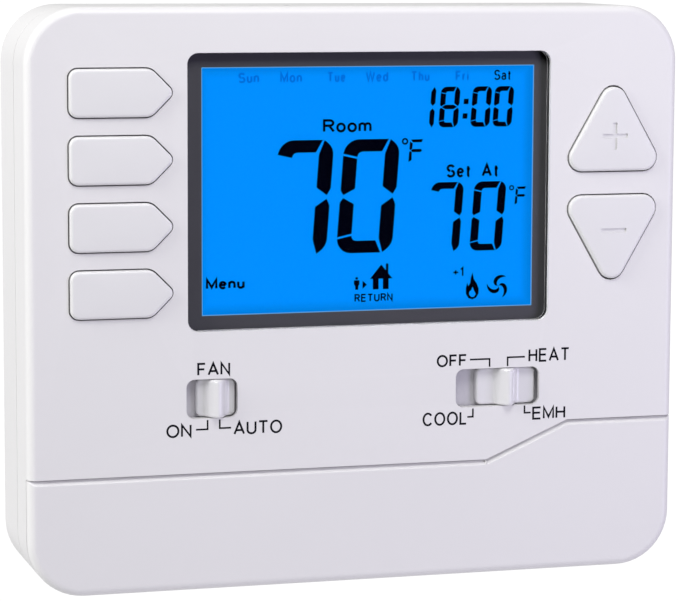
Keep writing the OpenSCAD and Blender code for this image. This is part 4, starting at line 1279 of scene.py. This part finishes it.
class THERMOSTAT_OT_electronics(bpy.types.Operator):
    """Circuit board and what is soldered to it"""
    bl_idname = "thermostat.electronics"
    bl_label = "Electronics"

    LEGS = 12                                # to each side of the chip
    LEG_SIZE = (0.0014, 0.0004, 0.00045)
    LEG_OUT, LEG_UP, LEG_END = 0.0005, 0.0002, 0.001     # the first leg's middle, from chip, board and end

    def execute(self, context):
        stand_in("main_board", "circuit_board", solder_mask(), edge=0.1, segments=2)
        stand_in("relays", "relay_cases", relay_plastic(), edge=0.4)
        stand_in("header_strips", "pin_strips", dark_plastic(), edge=0.15, segments=2)
        stand_in("control_chip", "chip_body", dark_plastic(), edge=0.2)
        stand_in("crystal", "crystal_can", plated_steel(), edge=0.8)
        stand_in("capacitors", "capacitor_cans", capacitor_sleeve(), edge=0.4)
        stand_in("thermistor", "sensor_bead", bead_lacquer(), edge=0.05, segments=1)
        stand_in("tact_switches", "tact_switch_bodies", plated_steel(), edge=0.2)
        for name in ("fan_switch_body", "system_switch_body"):
            stand_in(name, name + "_shell", plated_steel(), edge=0.25)
        dress("header_pins", gold_plating())
        self.chip_legs()
        return {"FINISHED"}

    def chip_legs(self):
        """The control chip's gull-wing legs, set out by Geometry Nodes along its two long sides."""
        low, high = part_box("control_chip")
        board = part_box("main_board")[1].y
        tree, enter, leave = new_growth("Leg Rows", [("Count", "Int"), ("Pitch", "Float"), ("Leg", "Vector"),
                                                     ("Start Left", "Vector"), ("Start Right", "Vector")])
        link = tree.links.new
        leg = tree.nodes.new("GeometryNodeMeshCube")
        step = tree.nodes.new("ShaderNodeCombineXYZ")
        both = tree.nodes.new("GeometryNodeJoinGeometry")
        link(enter.outputs["Leg"], leg.inputs["Size"])
        link(enter.outputs["Pitch"], step.inputs["Z"])
        for side in ("Start Left", "Start Right"):
            row = tree.nodes.new("GeometryNodeMeshLine")
            link(enter.outputs["Count"], row.inputs["Count"])
            link(enter.outputs[side], row.inputs["Start Location"])
            link(step.outputs["Vector"], row.inputs["Offset"])
            put = tree.nodes.new("GeometryNodeInstanceOnPoints")
            link(row.outputs["Mesh"], put.inputs["Points"])
            link(leg.outputs["Mesh"], put.inputs["Instance"])
            link(put.outputs["Instances"], both.inputs["Geometry"])
        end_growth(tree, both.outputs["Geometry"], enter, leave)
        pitch = (high.z - low.z - 2 * self.LEG_END) / (self.LEGS - 1)
        depth, first = board + self.LEG_UP, low.z + self.LEG_END
        values = {"Count": self.LEGS, "Pitch": pitch, "Leg": self.LEG_SIZE,
                  "Start Left": (low.x - self.LEG_OUT, depth, first),
                  "Start Right": (high.x + self.LEG_OUT, depth, first), "Finish": plated_steel()}
        obj = grow(link_object("chip_legs", bpy.data.meshes.new("chip_legs")), tree, values)
        finish_piece(obj, plated_steel(), "head")


def new_growth(name, ins):
    """A Geometry Nodes tree with these inputs and a material called Finish."""
    tree = bpy.data.node_groups.new(name, "GeometryNodeTree")
    tree.interface.new_socket("Geometry", in_out="OUTPUT", socket_type="NodeSocketGeometry")
    for label, kind in [*ins, ("Finish", "Material")]:
        tree.interface.new_socket(label, in_out="INPUT", socket_type="NodeSocket" + kind)
    return tree, tree.nodes.new("NodeGroupInput"), tree.nodes.new("NodeGroupOutput")


def end_growth(tree, geometry, enter, leave):
    """Ends a tree in real geometry with its material."""
    real = tree.nodes.new("GeometryNodeRealizeInstances")
    paint = tree.nodes.new("GeometryNodeSetMaterial")
    tree.links.new(geometry, real.inputs["Geometry"])
    tree.links.new(real.outputs["Geometry"], paint.inputs["Geometry"])
    tree.links.new(enter.outputs["Finish"], paint.inputs["Material"])
    tree.links.new(paint.outputs["Geometry"], leave.inputs["Geometry"])


class THERMOSTAT_OT_screws(bpy.types.Operator):
    """Cross-head screws at the case, the board and the terminals"""
    bl_idname = "thermostat.screws"
    bl_label = "Screws"

    HEAD_HEIGHT = 1.4

    def screw_tree(self):
        """Screws on the points of the input mesh: a flat head with a cross recess, and a shank behind it."""
        floats = ("Head Radius", "Head Height", "Shank Radius", "Shank Length", "Slot Width")
        tree, enter, leave = new_growth("Screws On Points", [("Geometry", "Geometry"),
                                                             *((label, "Float") for label in floats)])
        link = tree.links.new

        def cylinder(radius, depth, vertices):
            made = tree.nodes.new("GeometryNodeMeshCylinder")
            made.inputs["Vertices"].default_value = vertices
            link(radius, made.inputs["Radius"])
            link(depth, made.inputs["Depth"])
            return made.outputs["Mesh"]

        def moved(geometry, distance, factor):
            scale = tree.nodes.new("ShaderNodeMath")
            scale.operation = "MULTIPLY"
            scale.inputs[1].default_value = factor
            place = tree.nodes.new("ShaderNodeCombineXYZ")
            shift = tree.nodes.new("GeometryNodeTransform")
            link(distance, scale.inputs[0])
            link(scale.outputs["Value"], place.inputs["Z"])
            link(geometry, shift.inputs["Geometry"])
            link(place.outputs["Vector"], shift.inputs["Translation"])
            return shift.outputs["Geometry"]

        def bar(long_axis):
            size = tree.nodes.new("ShaderNodeCombineXYZ")
            other = "Y" if long_axis == "X" else "X"
            link(enter.outputs["Head Radius"], size.inputs[long_axis])
            link(enter.outputs["Slot Width"], size.inputs[other])
            link(enter.outputs["Head Height"], size.inputs["Z"])
            cube = tree.nodes.new("GeometryNodeMeshCube")
            link(size.outputs["Vector"], cube.inputs["Size"])
            return moved(cube.outputs["Mesh"], enter.outputs["Head Height"], 1.0)
        head = moved(cylinder(enter.outputs["Head Radius"], enter.outputs["Head Height"], 32),
                     enter.outputs["Head Height"], 0.5)
        carve = tree.nodes.new("GeometryNodeMeshBoolean")
        carve.operation = "DIFFERENCE"
        link(head, carve.inputs["Mesh 1"])
        for axis in ("X", "Y"):
            link(bar(axis), carve.inputs["Mesh 2"])
        shank = moved(cylinder(enter.outputs["Shank Radius"], enter.outputs["Shank Length"], 20),
                      enter.outputs["Shank Length"], -0.5)
        both = tree.nodes.new("GeometryNodeJoinGeometry")
        link(carve.outputs["Mesh"], both.inputs["Geometry"])
        link(shank, both.inputs["Geometry"])
        aim = tree.nodes.new("FunctionNodeAlignEulerToVector")
        aim.axis = "Z"
        normal = tree.nodes.new("GeometryNodeInputNamedAttribute")
        normal.data_type = "FLOAT_VECTOR"
        normal.inputs["Name"].default_value = "out"
        put = tree.nodes.new("GeometryNodeInstanceOnPoints")
        link(normal.outputs["Attribute"], aim.inputs["Vector"])
        link(enter.outputs["Geometry"], put.inputs["Points"])
        link(both.outputs["Geometry"], put.inputs["Instance"])
        link(aim.outputs["Rotation"], put.inputs["Rotation"])
        end_growth(tree, put.outputs["Instances"], enter, leave)
        return tree

    def execute(self, context):
        tree = self.screw_tree()
        # CAD node, piece, which way the heads look along y, then head radius, shank radius and slot width
        rows = (("case_screws", "case_screw_set", 1.0, 2.5, 1.15, 0.75),
                ("board_screws", "board_screw_set", -1.0, 2.3, 1.15, 0.7),
                ("terminal_screws", "terminal_screw_set", -1.0, 1.7, 1.2, 0.5))
        for node_name, name, way, head_r, shank_r, slot in rows:
            places = solid_boxes(node_name)
            points = []
            for low, high in places:
                outer = high.y if way > 0 else low.y
                foot = outer - way * self.HEAD_HEIGHT * MM
                points.append(((low.x + high.x) / 2, foot, (low.z + high.z) / 2))
            data = bpy.data.meshes.new(name)
            data.from_pydata(points, [], [])
            for row in data.attributes.new("out", "FLOAT_VECTOR", "POINT").data:
                row.vector = (0.0, way, 0.0)
            low, high = places[0]
            values = {"Head Radius": head_r * MM, "Head Height": self.HEAD_HEIGHT * MM,
                      "Shank Radius": shank_r * MM, "Shank Length": high.y - low.y - self.HEAD_HEIGHT * MM,
                      "Slot Width": slot * MM, "Finish": plated_steel()}
            obj = grow(link_object(name, data), tree, values)
            shade(obj, 30)
            stand_for(node_name, obj, plated_steel())
        return {"FINISHED"}


class THERMOSTAT_OT_batteries(bpy.types.Operator):
    """Batteries in printed film, their springs and contact plates"""
    bl_idname = "thermostat.batteries"
    bl_label = "Batteries"

    TURNS = 64
    TIP_FACE, BASE_FACE, RIM = 0.002, 0.001, 0.0009      # where the bare steel of the two ends begins

    def execute(self, context):
        for side in ("left", "right"):
            self.battery("battery_" + side)
        dress("battery_springs", plated_steel())
        stand_in("battery_plates", "contact_plates", plated_steel(), edge=0.1, segments=2)
        return {"FINISHED"}

    def profile(self, radius, length):
        """Radius and distance from the tip, in metres: nub, shoulder, jacket with rolled ends, flat end."""
        return [(0.0, 0.0), (0.0020, 0.0), (0.0026, 0.0003), (0.0027, 0.0010), (0.0048, 0.0011),
                (radius - 0.0011, 0.0012), (radius - 0.0008, 0.0010), (radius - 0.0003, 0.0011),
                (radius, 0.0016), (radius, length - 0.0008), (radius - 0.0003, length - 0.0002),
                (radius - 0.0008, length - 0.0001), (radius - 0.0012, length - 0.0004),
                (0.0045, length - 0.0004), (0.0040, length), (0.0, length)]

    def battery(self, node_name):
        """A turned can with its plus end towards the middle of the case."""
        low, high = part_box(node_name)
        way = 1.0 if low.x + high.x > 0 else -1.0
        tip = low.x if way > 0 else high.x
        radius, length = (high.z - low.z) / 2, high.x - low.x
        y, z = (low.y + high.y) / 2, (low.z + high.z) / 2
        mesh, rows = bmesh.new(), []
        angles = [math.tau * i / self.TURNS for i in range(self.TURNS)]
        for r, along in self.profile(radius, length):
            spots = [(math.cos(a), math.sin(a)) for a in angles] if r else [(0.0, 0.0)]
            rows.append([mesh.verts.new((tip + way * along, y + r * c, z + r * s)) for c, s in spots])
        for a, b in zip(rows, rows[1:]):
            for i in range(self.TURNS):
                k = (i + 1) % self.TURNS
                corners = [a[i % len(a)], a[k % len(a)], b[k % len(b)], b[i % len(b)]]
                mesh.faces.new(list(dict.fromkeys(corners)))
        obj = built(node_name + "_cell", mesh)
        shade(obj, 35)
        stand_for(node_name, obj, battery_film())
        obj.data.materials.append(plated_steel())
        for face in obj.data.polygons:
            along = (face.center.x - tip) * way
            inner = math.hypot(face.center.y - y, face.center.z - z) < radius - self.RIM
            bare = inner and (along < self.TIP_FACE or along > length - self.BASE_FACE)
            face.material_index = 1 if bare else 0


class THERMOSTAT_OT_terminals(bpy.types.Operator):
    """Terminal blocks, wire clamps and socket contacts on the wall plate"""
    bl_idname = "thermostat.terminals"
    bl_label = "Terminals"

    def execute(self, context):
        for side in ("left", "right"):
            stand_in("terminal_block_" + side, "terminal_strip_" + side, terminal_plastic(), edge=0.2)
        stand_in("wire_clamps", "clamp_boxes", plated_brass(), edge=0.08, segments=2)
        stand_in("socket_contacts", "socket_springs", plated_brass(), edge=0.05, segments=2)
        return {"FINISHED"}


class THERMOSTAT_OT_stage(bpy.types.Operator):
    """Pale floor, soft lights, surroundings and camera"""
    bl_idname = "thermostat.stage"
    bl_label = "Stage"

    AIM = Vector((0, -0.02, 0))              # what the lamps look at, near the front face
    FLOOR_HALF = 1.5

    def lamp(self, name, place, size, power, tint=(1.0, 1.0, 1.0)):
        data = bpy.data.lights.new(name, "AREA")
        data.shape, data.size, data.size_y = "RECTANGLE", *size
        data.energy, data.color = power, tint
        obj = bpy.data.objects.new(name, data)
        bpy.context.scene.collection.objects.link(obj)
        obj.location = place
        obj.rotation_euler = (self.AIM - Vector(place)).to_track_quat("-Z", "Y").to_euler()
        obj.visible_camera = False

    def floor(self, drop):
        low, half = CAD_BOX[0].z - drop, self.FLOOR_HALF
        mesh = bpy.data.meshes.new("floor")
        mesh.from_pydata([(-half, -half, low), (half, -half, low), (half, half, low), (-half, half, low)], [],
                         [(0, 1, 2, 3)])
        floor = link_object("floor", mesh)
        material, tree, shader, where = blank_material("pale_floor")
        noise = node(tree, "ShaderNodeTexNoise", Scale=3.0, Detail=2.0)
        tree.links.new(where, noise.inputs["Vector"])
        toned = mix_colour(tree, noise.outputs["Fac"], (0.93, 0.93, 0.93), (0.96, 0.96, 0.96))
        tree.links.new(toned, shader.inputs["Base Color"])
        shader.inputs["Roughness"].default_value = 0.9
        mesh.materials.append(material)

    def surroundings(self, strength):
        world = bpy.data.worlds.new("surroundings")
        bpy.context.scene.world = world
        world.use_nodes = True
        tree = world.node_tree
        back = tree.nodes["Background"]
        where = tree.nodes.new("ShaderNodeTexCoord")
        split = tree.nodes.new("ShaderNodeSeparateXYZ")
        height = node(tree, "ShaderNodeMapRange", From_Min=-0.6, From_Max=0.9)
        tree.links.new(where.outputs["Generated"], split.inputs["Vector"])
        tree.links.new(split.outputs["Z"], height.inputs["Value"])
        sky = mix_colour(tree, height.outputs["Result"], (0.86, 0.86, 0.90), (1.0, 1.0, 1.0))
        path = tree.nodes.new("ShaderNodeLightPath")
        sky = mix_colour(tree, path.outputs["Is Camera Ray"], sky, (1.0, 1.0, 1.0))
        level = node(tree, "ShaderNodeMapRange", To_Min=strength, To_Max=1.05)
        tree.links.new(path.outputs["Is Camera Ray"], level.inputs["Value"])
        tree.links.new(sky, back.inputs["Color"])
        tree.links.new(level.outputs["Result"], back.inputs["Strength"])

    def execute(self, context):
        stage = context.scene.thermostat_stage
        self.floor(stage.floor_drop)
        self.surroundings(stage.world)
        self.lamp("top_light", (0.0, -0.25, 0.30), (0.2, 0.15), stage.top_power)
        self.lamp("right_light", (0.45, -0.45, -0.02), (0.25, 0.35), stage.right_power, (0.76, 0.69, 1.0))
        self.lamp("left_light", (-0.8, -0.1, 0.4), (0.5, 0.5), stage.left_power)
        camera = bpy.data.cameras.new("camera")
        camera.lens, camera.sensor_width = stage.lens, 36.0
        camera.clip_start, camera.clip_end = 0.01, 60.0
        obj = bpy.data.objects.new("camera", camera)
        context.scene.collection.objects.link(obj)
        flat = math.cos(stage.pitch)
        look = Vector((math.sin(stage.yaw) * flat, math.cos(stage.yaw) * flat, -math.sin(stage.pitch)))
        turn = look.to_track_quat("-Z", "Y").to_matrix() @ Matrix.Rotation(stage.roll, 3, "Z")
        obj.matrix_world = Matrix.Translation(Vector(stage.aim) - look * stage.distance) @ turn.to_4x4()
        context.scene.camera = obj
        context.scene.view_settings.view_transform = "Standard"
        return {"FINISHED"}


class THERMOSTAT_PT_panel(bpy.types.Panel):
    """Lists the thermostat's groups of pieces"""
    bl_label = "Thermostat"
    bl_idname = "THERMOSTAT_PT_panel"
    bl_space_type = "VIEW_3D"
    bl_region_type = "UI"
    bl_category = "Thermostat"

    def draw(self, context):
        for operator in OPERATORS:
            self.layout.operator(operator.bl_idname)


OPERATORS = (THERMOSTAT_OT_shells, THERMOSTAT_OT_keys, THERMOSTAT_OT_knobs, THERMOSTAT_OT_display,
             THERMOSTAT_OT_screen_marks, THERMOSTAT_OT_labels, THERMOSTAT_OT_electronics,
             THERMOSTAT_OT_screws, THERMOSTAT_OT_batteries, THERMOSTAT_OT_terminals, THERMOSTAT_OT_stage)
CLASSES = (ThermostatSizes, ThermostatColours, StageSettings, *OPERATORS, THERMOSTAT_PT_panel)


def register():
    for cls in CLASSES:
        bpy.utils.register_class(cls)
    bpy.types.Scene.thermostat_sizes = PointerProperty(type=ThermostatSizes)
    bpy.types.Scene.thermostat_colours = PointerProperty(type=ThermostatColours)
    bpy.types.Scene.thermostat_stage = PointerProperty(type=StageSettings)


def unregister():
    for name in ("thermostat_sizes", "thermostat_colours", "thermostat_stage"):
        delattr(bpy.types.Scene, name)
    for cls in reversed(CLASSES):
        bpy.utils.unregister_class(cls)


def main():
    register()
    for operator in OPERATORS:
        group, name = operator.bl_idname.split(".")
        getattr(getattr(bpy.ops, group), name)()


if __name__ == "__main__":
    main()
